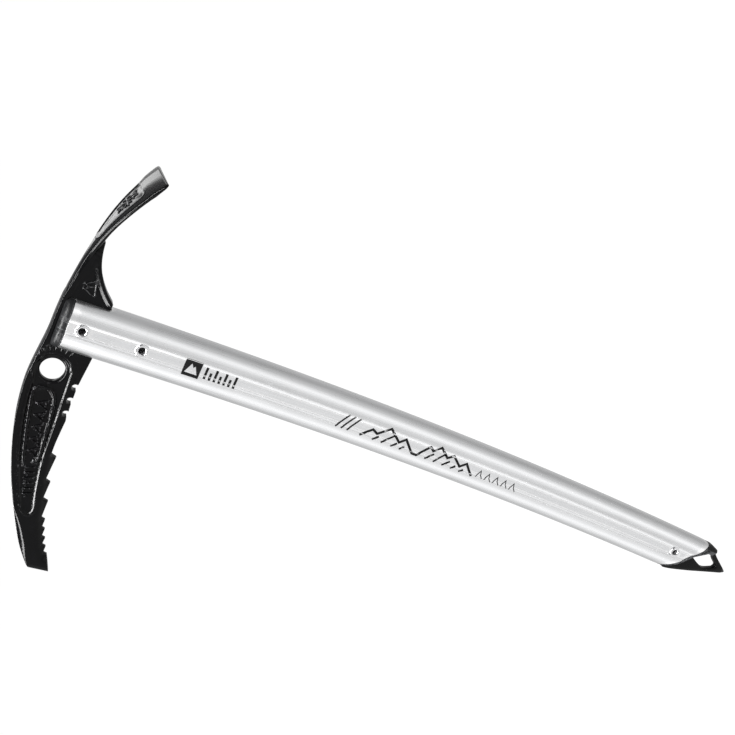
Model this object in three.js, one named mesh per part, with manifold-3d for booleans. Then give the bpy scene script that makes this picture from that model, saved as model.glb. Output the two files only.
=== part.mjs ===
// Ice axe: one forged head, a bowed oval tube, a spike, and the packing and rivets that join them.
// Millimetres. While it is built, x = 0 is the shaft's axis at the head, +X is the adze side,
// -X is the pick side, Y is the thickness and Z runs from the spike's point (0) up to the head.
// The last step moves everything so that the origin is the bottom centre of the whole box.
import * as THREE from 'three';
import { mergeVertices } from 'three/addons/utils/BufferGeometryUtils.js';
import Module from 'manifold-3d';

const wasm = await Module();
wasm.setup();

// ---------- driving dimensions ----------
const CLEARANCE = 0.3; // gap between pieces that touch

// shaft tube
const TUBE_TOP = 519.5;
const TUBE_WIDTH = 31; // front to back
const TUBE_THICKNESS = 20; // side to side
const TUBE_WALL = 1.8;
const OVAL_POWER = 2.6; // exponent of the oval section
const SHAFT_BOW = 27.2; // how far the foot sits towards the pick side
const SHAFT_RUN = 482.3; // height over which that bow builds up
const FLUTE_HALF_WIDTH = 3.8;
const FLUTE_EDGE = 4.5;
const FLUTE_DEPTH = 0.6;
const SLOT_DEPTH = 20; // slots for the head plate, down from the tube's top

// head
const PLATE_THICKNESS = 7;
const SPINE_WIDTH = 10; // widened top edge over the tube
const TANG_HALF_WIDTH = 11;
const TANG_BOTTOM = 466;
const TANG_CHAMFER = 4; // cut corners at the tang's foot
const HOLE_X = -29.1;
const HOLE_Z = 517.8;
const HOLE_RADIUS = 6.9;
const SPINE_BAR_DEPTH = 3.2; // depth of that widened edge
const SPINE_BAR_START = -24; // it runs from here to the adze
const BEAD_HALF_WIDTH = 4.7; // bead along the web's inner edge
const BEAD_SHIFT = [-1.5, 3]; // from the bead's outer line to its inner one
const PANEL_DEPTH = 0.8; // recessed panel on each side of the pick
const TOOTH_HALF_THICKNESS = 1.4; // the plate is filed down to this at the teeth
const TOOTH_BEVEL_HEIGHT = 5;
const PANEL_RIM = 4.4; // raised rim left along the spine
const LEDGE_WIDTH = 3.2; // from the carabiner hole's edge to the panel's edge

// adze
const ADZE_HALF_WIDTHS = [4.8, 4.9, 5.8, 11.8, 18.2, 23.5, 27.5]; // at even steps from neck to tip
const ADZE_MIDDLE = [5.6, 3.0]; // thickness along its middle, at the neck and at the tip
const ADZE_SIDE = [2.8, 1.7]; // thickness along its side edges, at the neck and at the tip
const ADZE_CROWN = 1.9; // how far the side edges drop below the middle at the tip
const ADZE_PANEL_DEPTH = 0.7;
const ADZE_PANEL_START = 0.42; // shares of the adze's length
const ADZE_PANEL_END = 0.86;
const ADZE_PANEL_SHARE = 0.68; // share of the adze's width

// rivets
const RIVET_BORE = 2.0;
const RIVET_BARREL = 2.55;
const RIVET_FLARE = 4.0;
const RIVET_HOLE = 2.9;
const RIVET_HEAD = 0.9; // how far the flared ends stand off their seat
const RIVET_MOUTH = 0.6; // how far the bore opens towards each end
const RIVET_BEVEL = 0.3;
const HEAD_RIVETS = [511.1, 476.9]; // heights
const SPIKE_RIVET_Z = 61.5;

// packing and plug
const PACKING_BOTTOM = 469;
const SHOULDER_TOP = 523.4;
const SHOULDER_INSET = 0.1; // the shoulder stands this far inside the tube's outside
const SHOULDER_LIP = 1.2; // straight part above the tube's end
const SHOULDER_TAPER = [0.95, 0.72]; // the shoulder's top, as shares of the section
const PLUG_TOP = 84;
const FLANGE_THICKNESS = 1.4;
const DROP_DIRECTION = [-0.62, -0.78]; // the way the flange stands off the cut
const NOSE_HALF_WIDTH = 7.6;

// spike
const SPIKE_THICKNESS = 5;
const TANG_CORNER = 3;

// half size of the blocks and pins that cut right through
const THROUGH = 30;

// ---------- materials ----------
const blackForging = new THREE.MeshStandardMaterial({ color: 0x17181a, metalness: 0.35, roughness: 0.28 });
const satinTube = new THREE.MeshStandardMaterial({ color: 0xc9cbce, metalness: 0.9, roughness: 0.38 });
const moulding = new THREE.MeshStandardMaterial({ color: 0x3a3c3e, metalness: 0.0, roughness: 0.75 });
const brightRivet = new THREE.MeshStandardMaterial({ color: 0xd6d8da, metalness: 1.0, roughness: 0.22 });
const blackSpike = new THREE.MeshStandardMaterial({ color: 0x141516, metalness: 0.3, roughness: 0.35 });

// ---------- solid helpers ----------
function toSolid(geometry) {
  const bare = geometry.index ? geometry.toNonIndexed() : geometry.clone();
  bare.deleteAttribute('normal');
  bare.deleteAttribute('uv');
  const merged = mergeVertices(bare, 1e-4);
  return new wasm.Manifold(new wasm.Mesh({
    numProp: 3,
    vertProperties: new Float32Array(merged.attributes.position.array),
    triVerts: new Uint32Array(merged.index.array),
  }));
}

function toGeometry(solid) {
  const mesh = solid.getMesh();
  const geometry = new THREE.BufferGeometry();
  geometry.setAttribute('position', new THREE.BufferAttribute(new Float32Array(mesh.vertProperties), 3));
  geometry.setIndex(new THREE.BufferAttribute(new Uint32Array(mesh.triVerts), 1));
  return geometry;
}

function vec(points) {
  return points.map(([x, z]) => new THREE.Vector2(x, z));
}

// smooth curve through a few points, as a list of [x, z]
function curveThrough(points, steps) {
  return new THREE.SplineCurve(vec(points)).getPoints(steps).map((p) => [p.x, p.y]);
}

// slab between two Y values, from an outline in the XZ plane
function slab(outline, yLow, yHigh) {
  const shape = new THREE.Shape(vec(outline));
  const geometry = new THREE.ExtrudeGeometry(shape, { depth: yHigh - yLow, bevelEnabled: false, steps: 1 });
  geometry.rotateX(Math.PI / 2);
  geometry.translate(0, yHigh, 0);
  return toSolid(geometry);
}

function crossPin(x, z, radius, halfLength, sides = 20) {
  const geometry = new THREE.CylinderGeometry(radius, radius, halfLength * 2, sides);
  geometry.translate(x, 0, z);
  return toSolid(geometry);
}

function block(x0, x1, y0, y1, z0, z1) {
  const geometry = new THREE.BoxGeometry(x1 - x0, y1 - y0, z1 - z0);
  geometry.translate((x0 + x1) / 2, (y0 + y1) / 2, (z0 + z1) / 2);
  return toSolid(geometry);
}

// closed outline moved outwards by a distance; points run anticlockwise seen with x right, z up
function grow(outline, distance) {
  const count = outline.length;
  return outline.map(([x, z], i) => {
    const [px, pz] = outline[(i + count - 1) % count];
    const [nx, nz] = outline[(i + 1) % count];
    const before = new THREE.Vector2(z - pz, px - x).normalize();
    const after = new THREE.Vector2(nz - z, x - nx).normalize();
    const middle = before.clone().add(after).normalize();
    const reach = distance / Math.max(0.5, middle.dot(before));
    return [x + middle.x * reach, z + middle.y * reach];
  });
}

// solid skinned over rings of equal length, each ring a list of Vector3, with fanned end caps
function skin(rings) {
  const width = rings[0].length;
  const positions = [];
  const index = [];
  rings.forEach((ring) => ring.forEach((p) => positions.push(p.x, p.y, p.z)));
  for (let r = 0; r + 1 < rings.length; r += 1) {
    for (let i = 0; i < width; i += 1) {
      const a = r * width + i;
      const b = r * width + ((i + 1) % width);
      index.push(a, b, b + width, a, b + width, a + width);
    }
  }
  [rings[0], rings[rings.length - 1]].forEach((ring, end) => {
    const middle = ring.reduce((sum, p) => sum.add(p), new THREE.Vector3()).divideScalar(width);
    const hub = positions.length / 3;
    positions.push(middle.x, middle.y, middle.z);
    const start = end === 0 ? 0 : (rings.length - 1) * width;
    for (let i = 0; i < width; i += 1) {
      const a = start + i;
      const b = start + ((i + 1) % width);
      index.push(...(end === 0 ? [hub, b, a] : [hub, a, b]));
    }
  });
  const geometry = new THREE.BufferGeometry();
  geometry.setAttribute('position', new THREE.BufferAttribute(new Float32Array(positions), 3));
  geometry.setIndex(index);
  return toSolid(geometry);
}

// ---------- shaft line and section ----------
function shaftX(z) {
  return -SHAFT_BOW * ((TUBE_TOP - Math.min(z, TUBE_TOP)) / SHAFT_RUN) ** 2;
}

function shaftSlope(z) {
  return (2 * SHAFT_BOW * (TUBE_TOP - Math.min(z, TUBE_TOP))) / SHAFT_RUN ** 2;
}

// oval ring as [across, y] pairs, anticlockwise seen from above
function ovalRing(inset, fluted) {
  const halfWidth = TUBE_WIDTH / 2 - inset;
  const halfThickness = TUBE_THICKNESS / 2 - inset;
  const shares = [0.985, 0.93, 0.85, 0.74, 0.6, 0.44];
  const stops = shares.map((share) => share * halfWidth).concat([FLUTE_EDGE, FLUTE_HALF_WIDTH]);
  const quarter = stops.map((u) => {
    const y = halfThickness * (1 - (u / halfWidth) ** OVAL_POWER) ** (1 / OVAL_POWER);
    const inFlute = fluted && u < (FLUTE_HALF_WIDTH + FLUTE_EDGE) / 2;
    return [u, inFlute ? TUBE_THICKNESS / 2 - FLUTE_DEPTH : y];
  });
  const mirrored = [...quarter].reverse().map(([u, y]) => [-u, y]);
  const upper = [[halfWidth, 0], ...quarter, ...mirrored];
  return [...upper, ...upper.map(([u, y]) => [-u, -y])];
}

function shaftSolid(inset, fluted, zBottom, zTop, steps) {
  const ring = ovalRing(inset, fluted);
  const rings = [];
  for (let k = 0; k <= steps; k += 1) {
    const z = zBottom + ((zTop - zBottom) * k) / steps;
    const tilt = Math.atan(shaftSlope(z));
    rings.push(ring.map(([u, y]) => new THREE.Vector3(
      shaftX(z) + u * Math.cos(tilt), y, z - u * Math.sin(tilt),
    )));
  }
  return skin(rings);
}

// wavy cut at the foot, from the adze side to the pick side
const FOOT_CUT = curveThrough([
  [-2, 31], [-11.5, 30.2], [-15, 33.2], [-20, 39.6], [-23.6, 45], [-27.4, 49.2],
  [-31, 53], [-34, 57.4], [-37, 63], [-39.8, 71.5], [-43.4, 86],
], 36);

// the region below the foot cut, optionally with the cut moved down
function belowCut(drop) {
  const moved = FOOT_CUT.map(([x, z]) => [x + drop * DROP_DIRECTION[0], z + drop * DROP_DIRECTION[1]]);
  const around = [[-70, 86 - drop], [-70, -20], [20, -20], [20, 31 - drop]];
  return slab([...moved, ...around].reverse(), -THROUGH, THROUGH);
}

// ---------- head ----------
// spine, from the pick's end to the adze neck
const SPINE = curveThrough([
  [-154.5, 491], [-141.5, 500], [-125.6, 507.7], [-103.9, 516.5], [-92.2, 520.5], [-76.5, 524.9],
  [-58.9, 528.4], [-42.7, 530], [-29.6, 529.7], [-9.5, 527.6], [5, 527.1], [17, 526.3], [30, 524.6],
  [43, 522],
], 48);

// recessed panel on each side of the pick: along the spine, then round the hole, then back under it
const PANEL_TOP = SPINE.filter(([x]) => x > -112 && x < -42).map(([x, z]) => [x, z - PANEL_RIM]);
const PANEL_FOOT = [
  [-31, 506.6], [-42, 506.8], [-63, 506], [-83, 505], [-104, 502.4], [-115, 500.2], [-118.4, 501.2],
  [-118.8, 503.8], [-116.6, 506.4],
];

function holeArc() {
  const radius = HOLE_RADIUS + LEDGE_WIDTH;
  const turns = [110, 90, 70, 50, 30, 10, -10, -30, -50, -70];
  return turns.map((degrees) => {
    const angle = THREE.MathUtils.degToRad(degrees);
    return [HOLE_X + radius * Math.cos(angle), HOLE_Z + radius * Math.sin(angle)];
  });
}

// each tooth as gullet then tip, from the shaft outwards
const TEETH = [
  [-79.8, 501.8], [-80.6, 498.3], [-96.3, 499.5], [-97, 496.3], [-108.7, 497], [-109.3, 493.6],
  [-121.1, 493.8], [-121.5, 491.3], [-127.1, 491.4], [-127.5, 489.4], [-133, 489.6], [-133.4, 487.3],
  [-138.4, 487.8], [-138.8, 485.2], [-143.4, 485.4], [-143.8, 482.9],
];

// three shallow grip notches under the carabiner hole
const NOTCHES = [
  [-15.8, 499.8], [-29.3, 501.2], [-32.3, 501.7], [-34.2, 503.9], [-36, 503.9], [-37.7, 502],
  [-40.3, 502], [-42.1, 503.9], [-43.8, 504], [-46, 501.8], [-48.8, 501.6], [-50.6, 503.6],
  [-52.4, 503.6], [-54.5, 501],
];

// lower edge between the notches and the first tooth
const UNDERSIDE = curveThrough([[-54.5, 501], [-62, 501.4], [-71, 501.9], [-79.8, 501.8]], 6).slice(1, -1);

// inner edge of the web, from its toe on the tube up to the adze
const WEB_EDGE = curveThrough([
  [18.4, 499.9], [23.7, 505], [29.9, 509.4], [36.4, 512.6], [43, 514.4], [50, 515.2],
], 14);

// middle line of the adze's outer face
const ADZE_LINE = new THREE.SplineCurve(vec([
  [17, 526.3], [30, 524.7], [43, 522.5], [58.5, 518.9], [72, 514.1], [86, 507.4], [96.5, 501],
]));

// adze section at a share (0 to 1) of its length
function adzeHalfWidth(share) {
  const steps = ADZE_HALF_WIDTHS.length - 1;
  const step = Math.min(Math.floor(share * steps), steps - 1);
  return THREE.MathUtils.lerp(ADZE_HALF_WIDTHS[step], ADZE_HALF_WIDTHS[step + 1], share * steps - step);
}

// thickness at a share of the length and a side position from -1 to 1: full in the middle, thin at the sides
function adzeThickness(share, side) {
  const middle = THREE.MathUtils.lerp(...ADZE_MIDDLE, share);
  const edge = THREE.MathUtils.lerp(...ADZE_SIDE, share);
  return edge + (middle - edge) * (1 - side * side);
}

// blade that follows the adze; widthShare scales its width, lift and depth move its two faces
function adzeBlade(from, to, widthShare, lift, depth) {
  const rings = [];
  const across = 6;
  const along = 14;
  for (let k = 0; k <= along; k += 1) {
    const share = from + ((to - from) * k) / along;
    const middle = ADZE_LINE.getPoint(share);
    const tangent = ADZE_LINE.getTangent(share);
    const half = adzeHalfWidth(share) * widthShare;
    const face = (side, height) => {
      const drop = ADZE_CROWN * share * (side * widthShare) ** 2;
      return new THREE.Vector3(
        middle.x - tangent.y * (height - drop), side * half, middle.y + tangent.x * (height - drop),
      );
    };
    const ring = [];
    for (let i = 0; i <= across; i += 1) ring.push(face(1 - (2 * i) / across, lift));
    for (let i = 0; i <= across; i += 1) {
      const side = -1 + (2 * i) / across;
      ring.push(face(side, depth === null ? -adzeThickness(share, side) : -depth));
    }
    rings.push(ring);
  }
  return skin(rings);
}

// the stock filed away beside the teeth, on one side: a wedge along the line of the tooth tips
function toothBevel(side) {
  const tips = TEETH.filter((_, i) => i % 2 === 1);
  const line = [[-72, 499.8], ...tips, [-157, 477]];
  const outer = PLATE_THICKNESS / 2 + 1;
  const rings = line.map(([x, z]) => [
    new THREE.Vector3(x, side * TOOTH_HALF_THICKNESS, z - 1),
    new THREE.Vector3(x, side * outer, z - 1),
    new THREE.Vector3(x, side * outer, z + TOOTH_BEVEL_HEIGHT + 2),
  ]);
  return skin(side < 0 ? rings : rings.reverse());
}

function buildHead() {
  const half = PLATE_THICKNESS / 2;
  const outline = [
    ...SPINE,
    [50, 518.5],
    ...[...WEB_EDGE].reverse(),
    [16, 499.8], [TANG_HALF_WIDTH, 499.8], [TANG_HALF_WIDTH, TANG_BOTTOM + TANG_CHAMFER],
    [TANG_HALF_WIDTH - TANG_CHAMFER, TANG_BOTTOM], [TANG_CHAMFER - TANG_HALF_WIDTH, TANG_BOTTOM],
    [-TANG_HALF_WIDTH, TANG_BOTTOM + TANG_CHAMFER], [-TANG_HALF_WIDTH, 499.8],
    ...NOTCHES,
    ...UNDERSIDE,
    ...TEETH,
    [-154.5, 478.5],
  ].reverse();
  let head = slab(outline, -half, half);

  // widened spine over the tube, and the bead along the web's inner edge
  const topEdge = SPINE.filter(([x]) => x > SPINE_BAR_START);
  const lowEdge = topEdge.map(([x, z]) => [x, z - SPINE_BAR_DEPTH]);
  const spineBar = [...topEdge, ...lowEdge.reverse()].reverse();
  head = head.add(slab(spineBar, -SPINE_WIDTH / 2, SPINE_WIDTH / 2));
  const inner = WEB_EDGE.map(([x, z]) => [x + BEAD_SHIFT[0], z + BEAD_SHIFT[1]]);
  head = head.add(slab([...WEB_EDGE, ...inner.reverse()], -BEAD_HALF_WIDTH, BEAD_HALF_WIDTH));
  head = head.add(adzeBlade(0, 1, 1, 0, null));

  // recessed panels on the pick, round the carabiner hole, and on the adze's outer face
  const panel = [...PANEL_TOP, ...holeArc(), ...PANEL_FOOT].reverse();
  head = head.subtract(slab(panel, half - PANEL_DEPTH, half + 2));
  head = head.subtract(slab(panel, -half - 2, PANEL_DEPTH - half));
  head = head.subtract(adzeBlade(ADZE_PANEL_START, ADZE_PANEL_END, ADZE_PANEL_SHARE, 2, ADZE_PANEL_DEPTH));

  head = head.subtract(toothBevel(-1)).subtract(toothBevel(1));

  // carabiner hole and rivet holes
  head = head.subtract(crossPin(HOLE_X, HOLE_Z, HOLE_RADIUS, THROUGH, 40));
  HEAD_RIVETS.forEach((z) => {
    head = head.subtract(crossPin(shaftX(z), z, RIVET_HOLE, THROUGH));
  });
  return head;
}

// ---------- tube ----------
function buildTube() {
  let tube = shaftSolid(0, true, 18, TUBE_TOP, 12);
  tube = tube.subtract(shaftSolid(TUBE_WALL, false, 10, TUBE_TOP + 8, 12));
  const slotHalf = PLATE_THICKNESS / 2 + CLEARANCE;
  tube = tube.subtract(block(-20, 20, -slotHalf, slotHalf, TUBE_TOP - SLOT_DEPTH, TUBE_TOP + 5));
  tube = tube.subtract(belowCut(0));
  [...HEAD_RIVETS, SPIKE_RIVET_Z].forEach((z) => {
    tube = tube.subtract(crossPin(shaftX(z), z, RIVET_HOLE, THROUGH));
  });
  return tube;
}

// ---------- packing round the head's tang ----------
function buildPacking(side) {
  const inside = shaftSolid(TUBE_WALL + CLEARANCE, false, PACKING_BOTTOM, TUBE_TOP + 1, 4);
  const ring = ovalRing(SHOULDER_INSET, false);
  const topRing = ring.map(([u, y]) => [u * SHOULDER_TAPER[0], y * SHOULDER_TAPER[1]]);
  const shoulder = skin([
    ring.map(([u, y]) => new THREE.Vector3(u, y, TUBE_TOP + CLEARANCE)),
    ring.map(([u, y]) => new THREE.Vector3(u, y, TUBE_TOP + CLEARANCE + SHOULDER_LIP)),
    topRing.map(([u, y]) => new THREE.Vector3(u, y, SHOULDER_TOP)),
  ]);
  let half = inside.add(shoulder);
  const inner = PLATE_THICKNESS / 2 + CLEARANCE;
  const reach = [Math.min(side * inner, side * THROUGH), Math.max(side * inner, side * THROUGH)];
  half = half.intersect(block(-THROUGH, THROUGH, ...reach, PACKING_BOTTOM - 1, SHOULDER_TOP + 1));
  HEAD_RIVETS.forEach((z) => {
    half = half.subtract(crossPin(shaftX(z), z, RIVET_HOLE, THROUGH));
  });
  return half;
}

// ---------- spike ----------
function spikeOutline() {
  const left = curveThrough([[-32.3, 0], [-35.6, 18], [-38.6, 34], [-41, 50], [-41.4, 57]], 10);
  const x = shaftX(PLUG_TOP - 4);
  return [
    [-31.4, 0], [-26, 7.8], [-21, 15], [-18, 18.4], [-17, 24], [-17.4, 34], [-15.4, 50],
    [x + TANG_HALF_WIDTH, PLUG_TOP - 6], [x + TANG_HALF_WIDTH - TANG_CORNER, PLUG_TOP - 3],
    [x - TANG_HALF_WIDTH + TANG_CORNER, PLUG_TOP - 3], [x - TANG_HALF_WIDTH, PLUG_TOP - 6],
    [-35.6, 66], [-38, 59.6],
    ...left.reverse(),
  ];
}

const SPIKE_WINDOW = [
  [-27.4, 35.2], [-31.2, 27.4], [-33, 21], [-31.2, 13.6], [-30, 11.8], [-28.2, 11.8], [-24.9, 16.2],
  [-22.2, 18.8], [-21.2, 21], [-20.4, 27.6], [-21.6, 29.8],
];

function buildSpike() {
  const half = SPIKE_THICKNESS / 2;
  let spike = slab(spikeOutline(), -half, half);
  spike = spike.subtract(slab(SPIKE_WINDOW, -THROUGH, THROUGH));
  return spike.subtract(crossPin(shaftX(SPIKE_RIVET_Z), SPIKE_RIVET_Z, RIVET_HOLE, THROUGH));
}

// ---------- plug round the spike's tang ----------
const NOSE = [
  [-8, 33], [-10.9, 29.6], [-13.2, 25], [-14.8, 21.8], [-16.2, 22.2], [-19.4, 25.8], [-19.2, 29.6],
  [-24, 39], [-14, 44],
].reverse();

function buildPlug() {
  const core = shaftSolid(TUBE_WALL + CLEARANCE, false, 20, PLUG_TOP, 4);
  const sleeve = shaftSolid(0, false, 6, 96, 4);
  const noseSlab = slab(NOSE, -NOSE_HALF_WIDTH, NOSE_HALF_WIDTH);
  const offCut = belowCut(CLEARANCE + FLANGE_THICKNESS).subtract(noseSlab);
  let plug = sleeve.intersect(belowCut(CLEARANCE)).add(core).subtract(offCut);
  const slotHalf = SPIKE_THICKNESS / 2 + CLEARANCE;
  plug = plug.subtract(slab(grow(spikeOutline(), CLEARANCE), -slotHalf, slotHalf));
  plug = plug.subtract(slab(SPIKE_WINDOW, -slotHalf, slotHalf));
  return plug.subtract(crossPin(shaftX(SPIKE_RIVET_Z), SPIKE_RIVET_Z, RIVET_HOLE, THROUGH));
}

// ---------- tubular rivets ----------
function rivet(z) {
  const seat = TUBE_THICKNESS / 2 - FLUTE_DEPTH + CLEARANCE;
  const end = seat + RIVET_HEAD;
  const mouth = RIVET_BORE + RIVET_MOUTH;
  const rim = RIVET_FLARE - RIVET_BEVEL;
  const profile = [
    [RIVET_BORE, -seat], [mouth, -end], [rim, -end], [RIVET_FLARE, -seat],
    [RIVET_BARREL, -seat], [RIVET_BARREL, seat], [RIVET_FLARE, seat], [rim, end],
    [mouth, end], [RIVET_BORE, seat], [RIVET_BORE, -seat],
  ].map(([r, y]) => new THREE.Vector2(r, y));
  const geometry = new THREE.LatheGeometry(profile, 20);
  geometry.translate(shaftX(z), 0, z);
  return toSolid(geometry);
}

// ---------- assembly ----------
const group = new THREE.Group();
group.name = 'ice_axe';

function addPiece(name, solid, material) {
  const mesh = new THREE.Mesh(toGeometry(solid), material.clone());
  mesh.name = name;
  group.add(mesh);
}

addPiece('forged_head', buildHead(), blackForging);
addPiece('shaft_tube', buildTube(), satinTube);
addPiece('tang_packing_left', buildPacking(-1), moulding);
addPiece('tang_packing_right', buildPacking(1), moulding);
addPiece('head_rivet_upper', rivet(HEAD_RIVETS[0]), brightRivet);
addPiece('head_rivet_lower', rivet(HEAD_RIVETS[1]), brightRivet);
addPiece('spike', buildSpike(), blackSpike);
addPiece('spike_plug', buildPlug(), moulding);
addPiece('spike_rivet', rivet(SPIKE_RIVET_Z), brightRivet);

const box = new THREE.Box3().setFromObject(group);
const middle = box.getCenter(new THREE.Vector3());
group.children.forEach((mesh) => mesh.geometry.translate(-middle.x, -middle.y, -box.min.z));

export default group;
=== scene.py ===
# %% [markdown]
# # An ice axe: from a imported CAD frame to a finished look
# The frame holds nine plain solids: a forged head, an oval tube, two packing halves, a spike, its plug
# and three tubular rivets. They have the right size and place, but no rounded edges, no panel relief
# and no finish. This lesson builds a detailed piece for each, in the same place, and gives it a
# material made of nodes. It starts by loading the frame, which is never moved or changed.

# %% Load the frame
import math

import bmesh
import bpy
import numpy as np
from mathutils import Matrix, Vector
from mathutils.geometry import delaunay_2d_cdt


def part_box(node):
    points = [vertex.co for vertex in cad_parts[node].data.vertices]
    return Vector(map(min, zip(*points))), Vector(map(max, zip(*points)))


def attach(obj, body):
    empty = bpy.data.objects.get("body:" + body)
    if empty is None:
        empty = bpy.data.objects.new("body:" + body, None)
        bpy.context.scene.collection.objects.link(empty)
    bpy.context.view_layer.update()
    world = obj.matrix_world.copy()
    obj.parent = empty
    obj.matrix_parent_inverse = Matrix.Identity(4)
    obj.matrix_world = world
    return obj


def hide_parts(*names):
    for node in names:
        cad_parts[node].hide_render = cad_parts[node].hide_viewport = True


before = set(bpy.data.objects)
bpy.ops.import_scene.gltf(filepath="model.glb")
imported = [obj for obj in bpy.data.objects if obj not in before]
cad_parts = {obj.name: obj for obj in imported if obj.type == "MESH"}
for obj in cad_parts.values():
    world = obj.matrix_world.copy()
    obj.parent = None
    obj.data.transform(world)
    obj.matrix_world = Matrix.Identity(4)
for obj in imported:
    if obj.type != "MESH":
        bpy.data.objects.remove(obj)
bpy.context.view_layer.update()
print("frame nodes:", sorted(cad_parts))

# %% [markdown]
# ## The maker's coordinates
# A toolmaker would draw the axe from the shaft's axis at the head, in millimetres. So each shape below
# has x = 0 on that axis (+x is the adze side, -x the pick side), y through the thickness, and z up from
# the spike's point. One function turns these into the frame's metres, and it takes the axis from the
# packing that sits round the head's tang, so the pieces follow the frame if it moves.

# %% Maker's coordinates
MM = 0.001
packing_low, packing_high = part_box("tang_packing_left")
AXIS_X = (packing_low.x + packing_high.x) / 2
TUBE_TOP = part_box("shaft_tube")[1].z / MM
UPPER_RIVET_Z = (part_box("head_rivet_upper")[0].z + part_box("head_rivet_upper")[1].z) / 2 / MM
LOWER_RIVET_Z = (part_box("head_rivet_lower")[0].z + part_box("head_rivet_lower")[1].z) / 2 / MM
SPIKE_RIVET_Z = (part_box("spike_rivet")[0].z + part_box("spike_rivet")[1].z) / 2 / MM


def in_frame(points):
    """Rows of (x, y, z) in the maker's millimetres, as metres in the shared frame."""
    return np.asarray(points, float) * MM + (AXIS_X, 0, 0)


print("axis at x =", round(AXIS_X, 4), "m; tube top at", round(TUBE_TOP, 1), "mm")

# %% [markdown]
# ## Lines and distances
# Most of the shapes start as a few points in the side view. A smooth curve runs through
# the round stretches, and `walk` adds points so that no stretch is long. The relief of a forging
# (rounded edges, raised rims, sunk panels) is easiest to describe by distance: how far is this spot
# from the edge, from the panel's border, from a raised line? These helpers measure that for thousands
# of points at once.

# %% Lines and distances


def curve_through(points, steps):
    """Points along a smooth curve through a few chosen ones."""
    knots = np.asarray(points, float)
    share = np.linspace(0, len(knots) - 1, steps + 1)
    index = np.minimum(share.astype(int), len(knots) - 2)
    t = (share - index)[:, None]
    before, after = knots[np.maximum(index - 1, 0)], knots[np.minimum(index + 2, len(knots) - 1)]
    start, end = knots[index], knots[index + 1]
    leave, arrive = (end - before) / 2, (after - start) / 2
    cubic = 2 * start - 2 * end + leave + arrive
    square = -3 * start + 3 * end - 2 * leave - arrive
    return cubic * t**3 + square * t**2 + leave * t + start


def walk(line, step, closed=True):
    """The same line with extra points, so that no stretch is longer than step."""
    points = np.asarray(line, float)
    ends = np.roll(points, -1, 0) if closed else points[1:]
    rows = []
    for a, b in zip(points, ends):
        count = max(1, math.ceil(np.linalg.norm(b - a) / step))
        rows.append(a + (b - a) * np.arange(count)[:, None] / count)
    if not closed:
        rows.append(points[-1:])
    return np.vstack(rows)


def distance_to(points, line, closed=False):
    """Shortest distance from each point to a line made of straight stretches."""
    line = np.asarray(line, float)
    ends = np.roll(line, -1, 0) if closed else line[1:]
    nearest = np.full(len(points), np.inf)
    for a, b in zip(line, ends):
        along = b - a
        t = np.clip((points - a) @ along / max(along @ along, 1e-9), 0, 1)
        nearest = np.minimum(nearest, np.linalg.norm(points - a - t[:, None] * along, axis=1))
    return nearest


def inside(points, loop):
    """True where a point lies inside a closed loop."""
    x, z = np.asarray(points, float).T
    result = np.zeros(len(x), bool)
    for (x0, z0), (x1, z1) in zip(loop, np.roll(loop, -1, 0)):
        rise = z1 - z0 if z1 != z0 else 1e-9
        result ^= ((z0 > z) != (z1 > z)) & (x < (x1 - x0) * (z - z0) / rise + x0)
    return result


def ease(values, low, high):
    """0 below low, 1 above high, and a smooth turn between them."""
    t = np.clip((np.asarray(values, float) - low) / (high - low), 0, 1)
    return t * t * (3 - 2 * t)


def round_off(distance, radius):
    """How far a surface drops near an edge that is rounded to a radius."""
    gap = radius - np.clip(distance, 0, radius)
    return radius - np.sqrt(np.maximum(radius**2 - gap**2, 0))


def ring_points(x, z, radius, count):
    """A circle in the side view."""
    turn = np.linspace(0, 2 * math.pi, count, endpoint=False)
    return np.column_stack([x + radius * np.cos(turn), z + radius * np.sin(turn)])


print("a 5 mm circle of 40 points is", round(float(distance_to([[0, 0]], ring_points(0, 0, 5, 40))[0]), 3),
      "mm from its centre at the nearest")

# %% [markdown]
# ## Turning points into meshes
# Three kinds of mesh are enough for this object. A **relief plate** is cut from sheet: its side view is
# filled with triangles, and a function says how thick it is at each spot. A **skin** is a stack of
# equal rings. A **turned part** is a profile spun round a cross axis. Blender could also reach these by
# sculpting or by stacked modifiers, but a few lines of arithmetic keep every border exactly where it
# was drawn, and give an even mesh that takes a sharp highlight. First come the steps that every piece
# needs: make the mesh, shade it, and cut or join it with another by a boolean.

# %% Make, shade and carve
MERGE_DISTANCE = 1e-7


def make_piece(name, vertices, faces, sharp_degrees=40):
    """A mesh object from vertices in the maker's millimetres, with smooth and crisp edges set by angle."""
    mesh = bpy.data.meshes.new(name)
    mesh.from_pydata([tuple(v) for v in in_frame(vertices)], [], [tuple(int(i) for i in f) for f in faces])
    work = bmesh.new()
    work.from_mesh(mesh)
    bmesh.ops.remove_doubles(work, verts=work.verts, dist=MERGE_DISTANCE)
    bmesh.ops.recalc_face_normals(work, faces=work.faces)
    work.to_mesh(mesh)
    work.free()
    piece = bpy.data.objects.new(name, mesh)
    bpy.context.scene.collection.objects.link(piece)
    shade(piece, sharp_degrees)
    return piece


def shade(piece, sharp_degrees):
    """Smooth shading, with edges kept crisp where two faces meet at more than an angle."""
    piece.data.shade_smooth()
    piece.data.set_sharp_from_angle(angle=math.radians(sharp_degrees))


def carve(target, tool, operation):
    """Cuts, joins or overlaps target with another closed piece, and then removes that piece."""
    modifier = target.modifiers.new("carve", "BOOLEAN")
    modifier.operation = operation
    modifier.solver = "MANIFOLD"
    modifier.object = tool
    shaped = target.evaluated_get(bpy.context.evaluated_depsgraph_get())
    result = bpy.data.meshes.new_from_object(shaped)
    target.modifiers.clear()
    target.data = result
    bpy.data.objects.remove(tool)
    return target


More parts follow.
